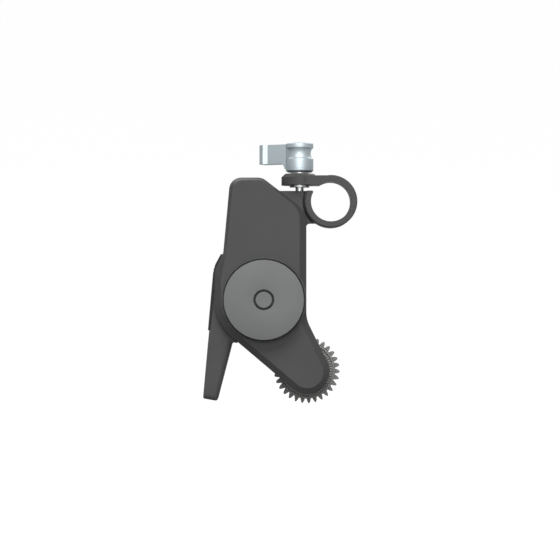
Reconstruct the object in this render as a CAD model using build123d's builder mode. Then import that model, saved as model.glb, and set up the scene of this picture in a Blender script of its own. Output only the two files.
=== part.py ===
"""Follow focus unit: a motorised focus wheel and gear arm on a clamp for a 15 mm rod.

Frame: millimetres, origin at the centre of the rod bore, +X right and +Z up as seen from
the front, and the front faces -Y. A "depth" below is the distance towards the front, -Y.
"""

import math
import os

from build123d import *

# ---- Layout: the two shafts the gear train joins, in the XZ plane -----------------------
knob_x, knob_z = -25.6, -37.6
arm_lean = 59.0  # degrees that the arm falls below the horizontal
train_module = 0.6
knob_gear_teeth, idler_teeth, output_teeth = 40, 24, 19
motor_module = 0.5
wheel_gear_teeth, reduction_pinion_teeth = 44, 14
reduction_teeth, motor_pinion_teeth = 40, 12
drive_module, drive_teeth, drive_phase = 0.8, 30, -2.3
train_pressure, drive_pressure = 25.0, 20.0
train_backlash, drive_backlash = 0.07, 0.10
train_flank_steps, drive_flank_steps = 1, 3

# ---- Fits -------------------------------------------------------------------------------
running = 0.05  # radial clearance of a shaft that turns in its hole
snug = 0.02  # radial clearance of pieces fixed to each other
play = 0.2  # axial gap between a turning piece and a fixed one
shut_line = 0.1  # gap between casing pieces

# ---- Depths, front to back --------------------------------------------------------------
face_depth = 8.0
bevel_depth = 5.6  # where the bevel round the front face begins
ceiling_depth = 6.2  # inside of the front wall
bracket_front = 3.2
lever_front = 1.8
seam_depth = -4.5  # front housing above, rear cover below
arm_plate_front = -3.0
plate_back = -6.0
rear_depth = -13.5

# ---- Front housing ----------------------------------------------------------------------
side_wall = 1.5
bevel, left_bevel = 2.4, 1.2
top_z, top_left_x, slope_x = 9.1, -38.5, -26.3
side_x = -9.4
slope_end_z = -3.9
body_r = 18.8  # round of the body about the knob
arm_end_r = 8.5  # round of the arm about the drive gear
arm_side_normal = 26.0  # degrees, outward normal of the arm's right edge
body_left_x = knob_x - body_r  # the lever, the ports and their openings are placed from here
shoulder_z = -26.5
waist_in, waist_z = 3.2, -20.0
top_round, slope_round, side_round = 4.6, 5.0, 9.5
arm_pit_round, shoulder_round, waist_round = 12.0, 6.0, 5.0
shoulder_drop = 1.6  # the shoulder falls this much for each millimetre of the bevel
pin_boss_wall = 1.0
bearing_wall = 1.2
window_out, window_in, window_end = -5.6, 6.4, 10.9  # from the body's left side
window_top_z, window_turn_z, window_bottom_z = -21.0, -51.0, -58.0

arm_plate_left_x, arm_plate_top_z = -33.0, -50.0

# ---- Casing screws ----------------------------------------------------------------------
tall_screws = ((-35.2, 5.4), (-25.2, 5.0), (-38.2, -14.0), (-12.6, -22.5))
low_screw = (-12.4, -46.5)  # its boss stops below the idler gear
low_boss_front = 1.5
arm_screw = (-19.8, -62.8)
screw_boss_r, arm_boss_r = 2.1, 1.5
case_screw_r, case_head_r, case_head_thick = 0.8, 1.6, 0.9
head_front = -12.2
arm_head_front = -4.0
screw_tip_depth = 0.9

# ---- Rod clamp --------------------------------------------------------------------------
rod_bore_r = 7.65  # clamp bore for a 15 mm rod
ring_wall = 2.4
ring_half_width = 6.5
ring_bevel = 0.4
ring_root = 0.8  # spread of the ring's outside where it meets the bracket
jaw_round, pit_round = 0.5, 1.4
jaw_top_z, ear_bottom_z, ear_shoulder_z, ear_top_z = 4.1, 6.35, 9.5, 9.9
bracket_left_x, bracket_right_x, bracket_bottom_z = -20.5, -5.6, -8.3
screw_x = -11.94
screw_r = 1.6
screw_freedom = 0.3
screw_lift = 0.7  # rise of the screw in one turn
screw_end_z, screw_top_z = -0.6, 18.0
ear_r = 7.0
boss_top_z, boss_r = 10.75, 5.6
insert_r, insert_length = 2.3, 4.8
collar_plate_r, collar_plate_thick, collar_plate_z = 3.85, 0.9, 5.55
washer_r = 3.45

# ---- Clamp lever ------------------------------------------------------------------------
hub_bottom_z, hub_top_z = 11.4, 22.6
hub_r, neck_r = 5.3, 4.3
hub_bevel, hub_top_bevel = 0.6, 0.4
neck_bottom_z, neck_z, neck_top_z = 16.4, 18.9, 20.8
paddle_bottom_z, paddle_top_z = 14.7, 22.2
paddle_reach, paddle_thick, paddle_turn = 16.4, 5.0, 28.0
paddle_end_round = 0.7
thumb_stop_in, thumb_stop_out, thumb_stop_high = 12.7, 14.4, 0.9
gusset_round = 2.0

# ---- Hand wheel -------------------------------------------------------------------------
knob_r, knob_front, knob_back = 15.15, 14.0, 7.4
knob_bevel = 0.2
well_floor = 7.0
collar_gap, collar_wall, collar_front = 0.55, 0.5, 8.35
collar_bevel = 0.15
shaft_r = 2.5
shaft_shoulder_r = 3.1
shaft_flange_r, flange_back, flange_front = 6.0, 7.45, 8.75
shaft_end = -7.3
knob_screw_count, knob_screw_circle = 3, 4.4
knob_screw_r, knob_screw_head_r, knob_screw_head_thick, knob_screw_grip = 0.6, 1.15, 0.6, 1.8

# ---- Button in the hand wheel -----------------------------------------------------------
button_r, button_bore_r, button_back, button_floor = 3.07, 3.84, 11.8, 11.0
button_foot = 0.6
button_travel = 0.6
plunger_r, plunger_tip = 0.75, -7.9
button_clip_r, button_clip_thick = 1.4, 0.3
spring_wire, spring_r, spring_turns, spring_floor = 0.3, 1.7, 3, 9.5
switch_size, switch_high, switch_stem_r = 3.4, 1.2, 0.8

# ---- Bearings ---------------------------------------------------------------------------
bearing_r, bearing_thick = 4.0, 2.0
small_bearing_r, small_journal_r = 3.5, 2.0
bearing_lip_r = 3.4
front_bearing_back = 5.0
rear_bearing_back, rear_boss_back = -6.6, -7.0
arm_bearing_back = -4.1
small_bearing_back = 4.9
shield_step, shield_half = 0.1, 0.4
clip_groove, clip_thick, clip_out_r, clip_gap = 0.4, 0.4, 3.3, 3.0

# ---- Gear layers ------------------------------------------------------------------------
train_back, train_front = 1.8, 4.4
disc_front = 1.3
wheel_back, wheel_front = -1.9, 0.1
reduction_back, reduction_front = -4.0, -2.4
brake_disc_r = 12.8
hub_post_r = 5.0
idler_pin_r, reduction_pin_r = 1.25, 1.0

# ---- Drive gear -------------------------------------------------------------------------
drive_front, drive_back = -5.6, -12.8
recess_r, recess_depth, hub_face_r, drive_hub_r = 10.3, 0.9, 8.0, 6.0
rib_count, rib_in_r, rib_out_r, rib_wide = 30, 8.7, 9.8, 0.7
hub_front_r, hub_front = 4.4, -4.7
gear_screw_r, gear_screw_length = 1.0, 5.0
gear_screw_head_r, gear_screw_head, gear_screw_key_r = 3.2, 0.7, 1.2

# ---- Motor ------------------------------------------------------------------------------
motor_r, motor_back = 8.0, -1.8
motor_shaft_r, motor_shaft_end = 0.75, -4.2
motor_nose_r, motor_nose, motor_bore_end = 3.0, 0.3, 4.0
cup_wall, cup_back = 1.2, 0.8
pinion_overhang = 0.1

# ---- Brake lever ------------------------------------------------------------------------
lever_pin_in = 4.5  # from the body's left side
lever_pin = (body_left_x + lever_pin_in, -24.1)
lever_pin_r = 1.0
lever_boss_r, lever_boss_back = 2.0, 3.6
lever_back, paddle_back = -4.2, -8.0
shoe_reach = 2.4  # from the brake disc's rim to the lever
lever_inner_r = brake_disc_r + shoe_reach
lever_edge = ((2.1, -23.4), (0.4, -26.4), (-0.5, -37.8), (-1.9, -49.6), (-2.6, -49.9))
lever_toe, lever_heel, lever_notch = (-4.75, -75.7), (0.8, -76.65), (6.7, -53.9)
lever_lobe = ((8.5, -54.3), (8.9, -51.9), (8.9, -47.0), (7.2, -28.0), (5.9, -23.6))
lever_tip_round, lever_notch_round = 1.0, 1.0
paddle_z = -54.0
shoe_back, shoe_front, shoe_tall = -0.4, 1.7, 8.0
brake_gap = 0.6
lever_wire, lever_coil_turns = 0.3, 3

# ---- Rear cover -------------------------------------------------------------------------
cover_wall, cover_floor, rear_bevel = 1.6, 1.5, 1.0
gear_gap = 0.9  # clearance round the drive gear
cover_foot_normal, cover_heel_normal = -50.0, -122.2
cover_heel_share = 0.58  # of the body's round
cover_toe, cover_side, cover_shoulder = (-2.3, -53.5), (0.0, -27.6), (0.8, -24.4)
cover_foot_round, cover_rounds = 2.0, (1.0, 1.5, 3.0, 2.0, 4.0)
strip_thick, strip_front, strip_back = 1.1, -5.5, -12.4
strip_top_z, strip_bottom_z, strip_in = -20.0, -49.6, 3.4
ridge_start, ridge_end = (1.5, -21.6), (-0.7, -26.4)
ridge_count, ridge_r = 5, 0.4

# ---- Electronics ------------------------------------------------------------------------
board_back, board_front = -11.2, -10.2
board_in, board_right_x, board_neck_x = 2.1, -15.2, -35.6
board_bottom_z, board_neck_z, board_top_z = -47.3, -26.2, 2.0
board_slant = ((-15.2, -6.0), (-22.5, 2.0))
board_posts = ((-32.5, -1.5), (-18.5, -5.0), (-30.0, -44.0), (-18.5, -44.0))
board_post_r = 1.4
port_half_long, port_half_high = 4.6, 1.6
port_z = (-30.6, -42.6)
port_mouth_in, port_long, port_depth = 0.6, 7.3, -8.6
port_shell, port_tongue, port_tongue_long = 0.5, 0.7, 6.6


def polar(centre, radius, degrees):
    """Return the point at a radius and angle from a centre."""
    turn = math.radians(degrees)
    return centre[0] + radius * math.cos(turn), centre[1] + radius * math.sin(turn)


def at(depth):
    """Return the sketch plane at a depth, facing the front, with local x = X and y = Z."""
    return Plane.XZ.offset(depth)


def on_axis(centre, depth):
    """Return the front-facing plane at a depth with its origin on a shaft's axis."""
    return Plane(origin=(centre[0], -depth, centre[1]), x_dir=(1, 0, 0), z_dir=(0, -1, 0))


def turning(centre):
    """Return the half-section plane of a turned piece: local x = radius, local y = depth."""
    return Plane(origin=(centre[0], 0, centre[1]), x_dir=(1, 0, 0), z_dir=(0, 0, -1))


def shaft_axis(centre):
    """Return the axis of a shaft that runs front to back."""
    return Axis((centre[0], 0, centre[1]), (0, -1, 0))


def tangent_corner(centre, radius, normal_a, normal_b):
    """Return where two lines meet that touch a circle and have these outward normals."""
    ax, az = polar((0, 0), 1, normal_a)
    bx, bz = polar((0, 0), 1, normal_b)
    reach = radius / (1 + ax * bx + az * bz)
    return centre[0] + reach * (ax + bx), centre[1] + reach * (az + bz)


def line_at_x(centre, radius, normal, x):
    """Return the point at x on the line that touches a circle with this outward normal."""
    nx, nz = polar((0, 0), 1, normal)
    return x, centre[1] + (radius - nx * (x - centre[0])) / nz


def on_line(start, end, height):
    """Return the point at a height on the line through two points."""
    share = (height - start[1]) / (end[1] - start[1])
    return start[0] + share * (end[0] - start[0]), height


def beside_body(points):
    """Return points whose first number is counted from the body's left side."""
    return [(body_left_x + out, z) for out, z in points]


# ---- Shaft centres ----------------------------------------------------------------------
def pitch_r(module, teeth):
    """Return the pitch radius of a gear."""
    return module * teeth / 2


knob_centre = (knob_x, knob_z)
idler_distance = pitch_r(train_module, knob_gear_teeth + idler_teeth)
output_distance = idler_distance + pitch_r(train_module, idler_teeth + output_teeth)
idler_centre = polar(knob_centre, idler_distance, -arm_lean)
output_centre = polar(knob_centre, output_distance, -arm_lean)
reduction_distance = pitch_r(motor_module, wheel_gear_teeth + reduction_pinion_teeth)
motor_distance = pitch_r(motor_module, reduction_teeth + motor_pinion_teeth)
drive_tip_r = pitch_r(drive_module, drive_teeth) + drive_module
port_mouth_x = body_left_x + port_mouth_in
waist_x = body_left_x + waist_in
collar_in_r = knob_r + collar_gap
collar_out_r = collar_in_r + collar_wall
reduction_centre = (knob_x, knob_z + reduction_distance)
motor_centre = (knob_x, reduction_centre[1] + motor_distance)
ring_r = rod_bore_r + ring_wall
screw_spots = tall_screws + (low_screw,)
pin_bosses = ((idler_centre, idler_pin_r), (reduction_centre, reduction_pin_r))


# ---- Gear teeth -------------------------------------------------------------------------
def involute(angle):
    """Return the involute function of an angle in radians."""
    return math.tan(angle) - angle


def gear_points(module, teeth, pressure, backlash, phase, steps):
    """Return the corners of a gear's outline, one tooth centred at the phase angle."""
    pitch, pressure = pitch_r(module, teeth), math.radians(pressure)
    base, root, tip = pitch * math.cos(pressure), pitch - 1.25 * module, pitch + module
    half_at_pitch = (math.pi * module / 2 - backlash) / (2 * pitch)
    flank = [root + (tip - root) * step / steps for step in range(steps + 1)]
    points = []
    for tooth in range(teeth):
        middle = math.radians(phase) + 2 * math.pi * tooth / teeth
        side = []
        for radius in flank:
            half = half_at_pitch + involute(pressure)
            half -= involute(math.acos(min(1.0, base / radius)))
            side.append((radius, half))
        points += [(r * math.cos(middle - a), r * math.sin(middle - a)) for r, a in side]
        points += [(r * math.cos(middle + a), r * math.sin(middle + a)) for r, a in side[::-1]]
    return points


def mesh_phase(phase, teeth, direction, mate_teeth):
    """Return the phase of a gear that meshes with one of a given phase, in a direction."""
    return direction + 180 - ((phase - direction) * teeth - 180) / mate_teeth


knob_gear_phase = -arm_lean
idler_phase = mesh_phase(knob_gear_phase, knob_gear_teeth, -arm_lean, idler_teeth)
output_phase = mesh_phase(idler_phase, idler_teeth, -arm_lean, output_teeth)
wheel_gear_phase = 90.0
reduction_pinion_phase = mesh_phase(
    wheel_gear_phase, wheel_gear_teeth, 90.0, reduction_pinion_teeth
)
reduction_phase = 90.0
motor_pinion_phase = mesh_phase(reduction_phase, reduction_teeth, 90.0, motor_pinion_teeth)


# ---- Outlines ---------------------------------------------------------------------------
arm_low_normal = -arm_lean - 90 + math.degrees(math.asin((body_r - arm_end_r) / output_distance))
slope_fall = (top_z - slope_end_z) / (side_x - slope_x)


def housing_outline(inset, left_inset):
    """Draw the front housing's outline, moved in by the bevel and closed."""
    body, arm = body_r - inset, arm_end_r - inset
    right = side_x - inset * 1.08
    corners = (
        (top_left_x + left_inset, top_z - left_inset),
        (slope_x, top_z - left_inset),
        (right, top_z - left_inset - slope_fall * (right - slope_x)),
        line_at_x(output_centre, arm, arm_side_normal, right),
        tangent_corner(output_centre, arm, arm_side_normal, arm_low_normal),
        tangent_corner(knob_centre, body, arm_low_normal, 180),
        (body_left_x + inset, shoulder_z - shoulder_drop * inset),
        (waist_x + left_inset, waist_z + left_inset),
    )
    rounds = (
        top_round - left_inset / 2,
        slope_round,
        side_round - inset / 2,
        arm_pit_round + inset,
        arm,
        body,
        shoulder_round,
        waist_round,
    )
    FilletPolyline(*corners, radius=rounds, close=True)


def cover_outline():
    """Draw the rear cover's outline, closed; the gear's clearance is cut from it later."""
    foot = tangent_corner(knob_centre, body_r, 0, cover_foot_normal)
    right_z = foot[1] + (foot[0] - side_x) / math.tan(math.radians(cover_foot_normal))
    corners = (
        (top_left_x, top_z),
        (slope_x, top_z),
        (side_x, slope_end_z),
        (side_x, right_z),
        tangent_corner(knob_centre, body_r, cover_foot_normal, cover_heel_normal),
        line_at_x(knob_centre, body_r, cover_heel_normal, knob_x - cover_heel_share * body_r),
        *beside_body((cover_toe, cover_side, cover_shoulder)),
        (waist_x, waist_z),
    )
    rounds = (top_round, slope_round, side_round, cover_foot_round, body_r, *cover_rounds)
    FilletPolyline(*corners, radius=rounds, close=True)


def post(centre, radius, low, high, mode=Mode.ADD):
    """Extrude a round post, or cut a round hole, between two depths."""
    with BuildSketch(on_axis(centre, low)) as profile:
        Circle(radius)
    extrude(profile.sketch, amount=high - low, mode=mode)


def tube(centre, outer_r, inner_r, low, high):
    """Extrude a ring between two depths."""
    with BuildSketch(on_axis(centre, low)) as profile:
        Circle(outer_r)
        Circle(inner_r, mode=Mode.SUBTRACT)
    extrude(profile.sketch, amount=high - low)


def turned(centre, *points):
    """Revolve a closed half section, as (radius, depth) points, about a shaft's axis."""
    with BuildSketch(turning(centre)) as profile:
        with BuildLine():
            Polyline(*points, close=True)
        make_face()
    revolve(profile.sketch, axis=shaft_axis(centre))


def turned_on_screw(*points):
    """Revolve a closed half section, as (radius, Z) points, about the clamp screw's axis."""
    plane = Plane(origin=(screw_x, 0, 0), x_dir=(1, 0, 0), z_dir=(0, -1, 0))
    with BuildSketch(plane) as profile:
        with BuildLine():
            Polyline(*points, close=True)
        make_face()
    revolve(profile.sketch, axis=Axis((screw_x, 0, 0), (0, 0, 1)))


def screw_hole(radius, low, high, mode=Mode.SUBTRACT):
    """Cut a round hole along the clamp screw's axis between two heights."""
    with BuildSketch(Plane.XY.offset(low)) as profile:
        with Locations((screw_x, 0)):
            Circle(radius)
    extrude(profile.sketch, amount=high - low, mode=mode)


def spread(plane, radius, amount, mode=Mode.ADD):
    """Extrude one round for each screw that holds the hand wheel to its shaft."""
    with BuildSketch(plane) as profile:
        with PolarLocations(knob_screw_circle, knob_screw_count):
            Circle(radius)
    extrude(profile.sketch, amount=amount, mode=mode)


def gear(centre, module, teeth, phase, low, high):
    """Extrude a spur gear of the train between two depths."""
    corners = gear_points(module, teeth, train_pressure, train_backlash, phase, train_flank_steps)
    with BuildSketch(on_axis(centre, low)) as profile:
        with BuildLine():
            Polyline(*corners, close=True)
        make_face()
    extrude(profile.sketch, amount=high - low)


def coil(centre, radius, wire, turns, low, high):
    """Sweep a compression spring between two depths."""
    height = high - low - wire
    foot = (centre[0], -low - wire / 2, centre[1])
    with BuildLine() as path:
        Helix(height / turns, height, radius, center=foot, direction=(0, -1, 0))
    start = path.line @ 0
    with BuildSketch(Plane(origin=start, z_dir=path.line % 0)) as profile:
        Rectangle(wire * 0.9, wire * 0.9)
    sweep(profile.sketch, path=path.line)


def housing_face():
    """Draw the filled outline of the front housing."""
    with BuildLine() as outline:
        housing_outline(0, 0)
    make_face(outline.edges())


def cover_face():
    """Draw the filled outline of the rear cover, with the drive gear's clearance cut out."""
    with BuildLine() as outline:
        cover_outline()
    make_face(outline.edges())
    with Locations(output_centre):
        Circle(drive_tip_r + gear_gap, mode=Mode.SUBTRACT)


# ---- Front housing: shell, bracket, ring and ear in one casting -------------------------
with BuildPart() as front_housing:
    with BuildSketch(at(seam_depth)):
        housing_face()
    extrude(amount=bevel_depth - seam_depth)
    with BuildSketch(at(bevel_depth)):
        housing_face()
    with BuildSketch(at(face_depth)):
        with BuildLine():
            housing_outline(bevel, left_bevel)
        make_face()
    loft(ruled=True)
    post(knob_centre, collar_out_r, bevel_depth, well_floor)
    # the bracket, which carries the ring beside the sloping shoulder
    with BuildSketch(at(seam_depth)):
        with BuildLine():
            FilletPolyline(
                (bracket_left_x, jaw_top_z),
                (-rod_bore_r, jaw_top_z),
                (bracket_right_x, bracket_bottom_z),
                (side_x, bracket_bottom_z),
                (side_x, bracket_bottom_z - 2 * pit_round),
                (side_x - side_wall, bracket_bottom_z - 2 * pit_round),
                radius=(0, 0, 0, pit_round, 0, 0),
                close=True,
            )
        make_face()
    extrude(amount=bracket_front - seam_depth)
    turned(
        (0, 0),
        (0, -ring_half_width),
        (ring_r - ring_bevel, -ring_half_width),
        (ring_r, ring_bevel - ring_half_width),
        (ring_r, ring_half_width - ring_bevel),
        (ring_r - ring_bevel, ring_half_width),
        (0, ring_half_width),
    )
    # the ring's root spreads where it rises from the bracket
    with BuildSketch(at(bracket_front)):
        Circle(ring_r + ring_root)
        with Locations((-ring_r - ring_root, (jaw_top_z + bracket_bottom_z) / 2)):
            Rectangle(2 * ring_r, jaw_top_z - bracket_bottom_z, mode=Mode.INTERSECT)
    root_rise = ring_half_width - ring_bevel - bracket_front
    extrude(amount=root_rise, taper=math.degrees(math.atan(ring_root / root_rise)))
    # the slot between jaw and ear
    with BuildSketch(at(-ring_half_width)):
        with Locations((-ring_r / 2 - rod_bore_r / 2, (jaw_top_z + ear_bottom_z) / 2)):
            Rectangle(ring_r, ear_bottom_z - jaw_top_z)
    extrude(amount=2 * ring_half_width, mode=Mode.SUBTRACT)
    turned_on_screw(
        (0, ear_bottom_z),
        (ear_r, ear_bottom_z),
        (ear_r, ear_shoulder_z),
        (boss_r, boss_top_z),
        (0, boss_top_z),
    )
    strap_start = screw_x + math.sqrt(ear_r**2 - ring_half_width**2)
    strap_end = -math.sqrt(ring_r**2 - ear_top_z**2)
    with BuildSketch(Plane.XY.offset(ear_bottom_z)):
        with Locations(((strap_start + strap_end) / 2, 0)):
            Rectangle(strap_end - strap_start, 2 * ring_half_width)
    extrude(amount=ear_top_z - ear_bottom_z)
    post((0, 0), rod_bore_r, -ring_half_width, ring_half_width, Mode.SUBTRACT)
    # gear room, open at the back
    with BuildSketch(at(seam_depth)):
        housing_face()
        offset(amount=-side_wall)
    extrude(amount=ceiling_depth - seam_depth, mode=Mode.SUBTRACT)
    for spot in tall_screws:
        post(spot, screw_boss_r, seam_depth, ceiling_depth)
    post(low_screw, screw_boss_r, seam_depth, low_boss_front)
    post(arm_screw, arm_boss_r, arm_plate_front, ceiling_depth)
    tube(motor_centre, motor_r + snug + cup_wall, motor_r + snug, cup_back, ceiling_depth)
    for centre, radius in pin_bosses:
        post(centre, radius + pin_boss_wall, train_front + play, ceiling_depth)
    post(lever_pin, lever_pin_r + pin_boss_wall, lever_boss_back, ceiling_depth)
    post(knob_centre, bearing_r + bearing_wall, train_front + play, ceiling_depth)
    post(output_centre, small_bearing_r + bearing_wall, small_bearing_back, ceiling_depth)
    # well of the hand wheel, its bearing seat and the passage of its shaft
    post(knob_centre, collar_out_r + snug, well_floor, face_depth, Mode.SUBTRACT)
    post(knob_centre, bearing_r + snug, front_bearing_back, well_floor, Mode.SUBTRACT)
    post(knob_centre, bearing_lip_r, seam_depth, well_floor, Mode.SUBTRACT)
    small_seat = small_bearing_back + bearing_thick
    post(output_centre, small_bearing_r + snug, small_bearing_back, small_seat, Mode.SUBTRACT)
    for centre, radius in pin_bosses + ((lever_pin, lever_pin_r),):
        post(centre, radius + snug, seam_depth, ceiling_depth, Mode.SUBTRACT)
    for spot in screw_spots + (arm_screw,):
        post(spot, case_screw_r + snug, seam_depth, screw_tip_depth, Mode.SUBTRACT)
    # window in the side wall for the brake lever
    with BuildSketch(at(seam_depth)):
        with BuildLine():
            Polyline(
                *beside_body(
                    (
                        (window_out, window_top_z),
                        (window_in, window_top_z),
                        (window_in, knob_z),
                        (window_end, window_turn_z),
                        (window_end, window_bottom_z),
                        (window_out, window_bottom_z),
                    )
                ),
                close=True,
            )
        make_face()
    extrude(amount=lever_front + shut_line - seam_depth, mode=Mode.SUBTRACT)
    # vertical passages for the clamp screw
    screw_hole(screw_r + screw_freedom, ear_bottom_z, boss_top_z)
    screw_hole(collar_plate_r + play, ear_bottom_z, ear_bottom_z + screw_lift + 2 * play)
    screw_hole(insert_r + snug, jaw_top_z - insert_length, jaw_top_z)
    jaw_tip = (-math.sqrt(rod_bore_r**2 - jaw_top_z**2), 0, jaw_top_z)
    bracket_pit = (slope_x + (top_z - jaw_top_z) / slope_fall, 0, jaw_top_z)
    for corner, radius in ((jaw_tip, jaw_round), (bracket_pit, pit_round)):
        edge = front_housing.edges().filter_by(Axis.Y).sort_by_distance(corner)[0]
        fillet(edge, radius=radius)
front_housing.part.label = "front_housing"

# ---- Gear plate: closes the arm and carries the rear bearings and pins ------------------
with BuildPart() as gear_plate:
    with BuildSketch(at(plate_back)):
        cover_face()
        offset(amount=-cover_wall - shut_line)
    extrude(amount=seam_depth - plate_back)
    with BuildSketch(at(seam_depth)):
        housing_face()
        offset(amount=-side_wall - shut_line)
        with Locations((arm_plate_left_x, arm_plate_top_z)):
            Rectangle(
                output_centre[0] + arm_end_r - arm_plate_left_x,
                arm_plate_top_z - output_centre[1] + arm_end_r,
                align=(Align.MIN, Align.MAX),
                mode=Mode.INTERSECT,
            )
    extrude(amount=arm_plate_front - seam_depth)
    arm_bearing_front = arm_bearing_back + bearing_thick
    post(knob_centre, bearing_r + bearing_wall, rear_boss_back, seam_depth)
    post(output_centre, bearing_r + bearing_wall, seam_depth, arm_bearing_front)
    post(idler_centre, idler_pin_r + pin_boss_wall, seam_depth, train_back - play)
    post(knob_centre, bearing_r + snug, rear_bearing_back, seam_depth, Mode.SUBTRACT)
    post(knob_centre, bearing_lip_r, rear_boss_back, seam_depth, Mode.SUBTRACT)
    post(output_centre, bearing_r + snug, arm_bearing_back, arm_bearing_front, Mode.SUBTRACT)
    post(output_centre, bearing_lip_r, seam_depth, arm_bearing_front, Mode.SUBTRACT)
    post(idler_centre, idler_pin_r + snug, seam_depth, train_back, Mode.SUBTRACT)
    post(reduction_centre, reduction_pin_r + snug, plate_back, seam_depth, Mode.SUBTRACT)
    post(lever_pin, lever_pin_r + snug, plate_back, seam_depth, Mode.SUBTRACT)
    for spot in screw_spots:
        post(spot, case_screw_r + 2 * running, plate_back, seam_depth, Mode.SUBTRACT)
    post(arm_screw, case_screw_r + 2 * running, seam_depth, arm_plate_front, Mode.SUBTRACT)
    post(arm_screw, case_head_r + running, seam_depth, arm_head_front, Mode.SUBTRACT)
gear_plate.part.label = "gear_plate"

# ---- Rear cover: tub with the ports' windows --------------------------------------------
with BuildPart() as rear_cover:
    with BuildSketch(at(rear_depth + rear_bevel)):
        cover_face()
    extrude(amount=seam_depth - rear_depth - rear_bevel)
    with BuildSketch(at(rear_depth + rear_bevel)):
        cover_face()
    extrude(amount=-rear_bevel, taper=45)
    with BuildSketch(at(rear_depth + cover_floor)):
        cover_face()
        offset(amount=-cover_wall)
    extrude(amount=seam_depth - rear_depth - cover_floor, mode=Mode.SUBTRACT)
    for spot in screw_spots:
        post(spot, screw_boss_r, rear_depth + cover_floor, plate_back)
    for spot in board_posts:
        post(spot, board_post_r, rear_depth + cover_floor, board_back)
    for spot in screw_spots:
        post(spot, case_screw_r + 2 * running, rear_depth, seam_depth, Mode.SUBTRACT)
        post(spot, case_head_r + running, rear_depth, head_front, Mode.SUBTRACT)
    for height in port_z:
        with BuildSketch(Plane.YZ.offset(port_mouth_x - cover_wall)):
            with Locations((-port_depth, height)):
                RectangleRounded(
                    2 * port_half_high + 2 * play, 2 * port_half_long + 2 * play, port_half_high
                )
        extrude(amount=3 * cover_wall, mode=Mode.SUBTRACT)
rear_cover.part.label = "rear_cover"

# ---- Screws of the casing ---------------------------------------------------------------
with BuildPart() as case_screws:
    for spot in screw_spots:
        post(spot, case_head_r, head_front - case_head_thick, head_front)
        post(spot, case_screw_r, head_front, screw_tip_depth)
case_screws.part.label = "case_screws"

with BuildPart() as arm_screw_part:
    post(arm_screw, case_head_r, arm_head_front - case_head_thick, arm_head_front)
    post(arm_screw, case_screw_r, arm_head_front, screw_tip_depth)
arm_screw_part.part.label = "arm_screw"

# ---- Hand wheel -------------------------------------------------------------------------
with BuildPart() as focus_knob:
    turned(
        knob_centre,
        (button_bore_r, knob_front),
        (knob_r - knob_bevel, knob_front),
        (knob_r, knob_front - knob_bevel),
        (knob_r, knob_back),
        (shaft_flange_r + snug, knob_back),
        (shaft_flange_r + snug, flange_front),
        (plunger_r + play, flange_front),
        (plunger_r + play, spring_floor),
        (spring_r + spring_wire + play, spring_floor),
        (spring_r + spring_wire + play, button_floor),
        (button_bore_r, button_floor),
    )
    front_of_flange = on_axis(knob_centre, flange_front)
    spread(front_of_flange, knob_screw_r + snug, knob_screw_grip, Mode.SUBTRACT)
focus_knob.part.label = "focus_knob"

with BuildPart() as knob_collar:
    tube(knob_centre, collar_out_r, collar_in_r, well_floor, collar_front)
    rim = knob_collar.edges().filter_by(GeomType.CIRCLE).group_by(Axis.Y)[0]
    chamfer(rim, length=collar_bevel)
knob_collar.part.label = "knob_collar"

clip_front = rear_bearing_back - running
clip_back = clip_front - clip_thick
with BuildPart() as knob_shaft:
    turned(
        knob_centre,
        (plunger_r + play, flange_front),
        (shaft_flange_r, flange_front),
        (shaft_flange_r, flange_back),
        (shaft_shoulder_r, flange_back),
        (shaft_shoulder_r, well_floor + running),
        (shaft_r, well_floor + running),
        (shaft_r, clip_front),
        (shaft_r - clip_groove, clip_front),
        (shaft_r - clip_groove, clip_back),
        (shaft_r, clip_back),
        (shaft_r, shaft_end),
        (plunger_r + play, shaft_end),
    )
    back_of_flange = on_axis(knob_centre, flange_back)
    spread(back_of_flange, knob_screw_r + running, flange_front - flange_back, Mode.SUBTRACT)
    seat_depth = knob_screw_head_thick + running
    spread(back_of_flange, knob_screw_head_r + running, seat_depth, Mode.SUBTRACT)
knob_shaft.part.label = "knob_shaft"

with BuildPart() as knob_screws:
    head_back = flange_back + running
    head_seat = head_back + knob_screw_head_thick
    spread(on_axis(knob_centre, head_back), knob_screw_head_r, knob_screw_head_thick)
    shank = flange_front + knob_screw_grip - play - head_seat
    spread(on_axis(knob_centre, head_seat), knob_screw_r, shank)
knob_screws.part.label = "knob_screws"

with BuildPart() as knob_circlip:
    with BuildSketch(on_axis(knob_centre, clip_back + snug)):
        Circle(clip_out_r)
        Circle(shaft_r - clip_groove + snug, mode=Mode.SUBTRACT)
        with Locations((0, -clip_out_r)):
            Rectangle(clip_gap, 2 * clip_out_r, mode=Mode.SUBTRACT)
    extrude(amount=clip_thick - 2 * snug)
knob_circlip.part.label = "knob_circlip"

with BuildPart() as button:
    turned(
        knob_centre,
        (0, knob_front),
        (button_r - knob_bevel, knob_front),
        (button_r, knob_front - knob_bevel),
        (button_r, button_back + button_foot),
        (button_bore_r - running, button_back + button_foot),
        (button_bore_r - running, button_back),
        (plunger_r, button_back),
        (plunger_r, plunger_tip),
        (0, plunger_tip),
    )
button.part.label = "button"

with BuildPart() as button_clip:
    clip_low = shaft_end - running - button_clip_thick
    tube(knob_centre, button_clip_r, plunger_r, clip_low, clip_low + button_clip_thick)
button_clip.part.label = "button_clip"

with BuildPart() as button_spring:
    coil(knob_centre, spring_r, spring_wire, spring_turns, spring_floor, button_back)
button_spring.part.label = "button_spring"

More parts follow.
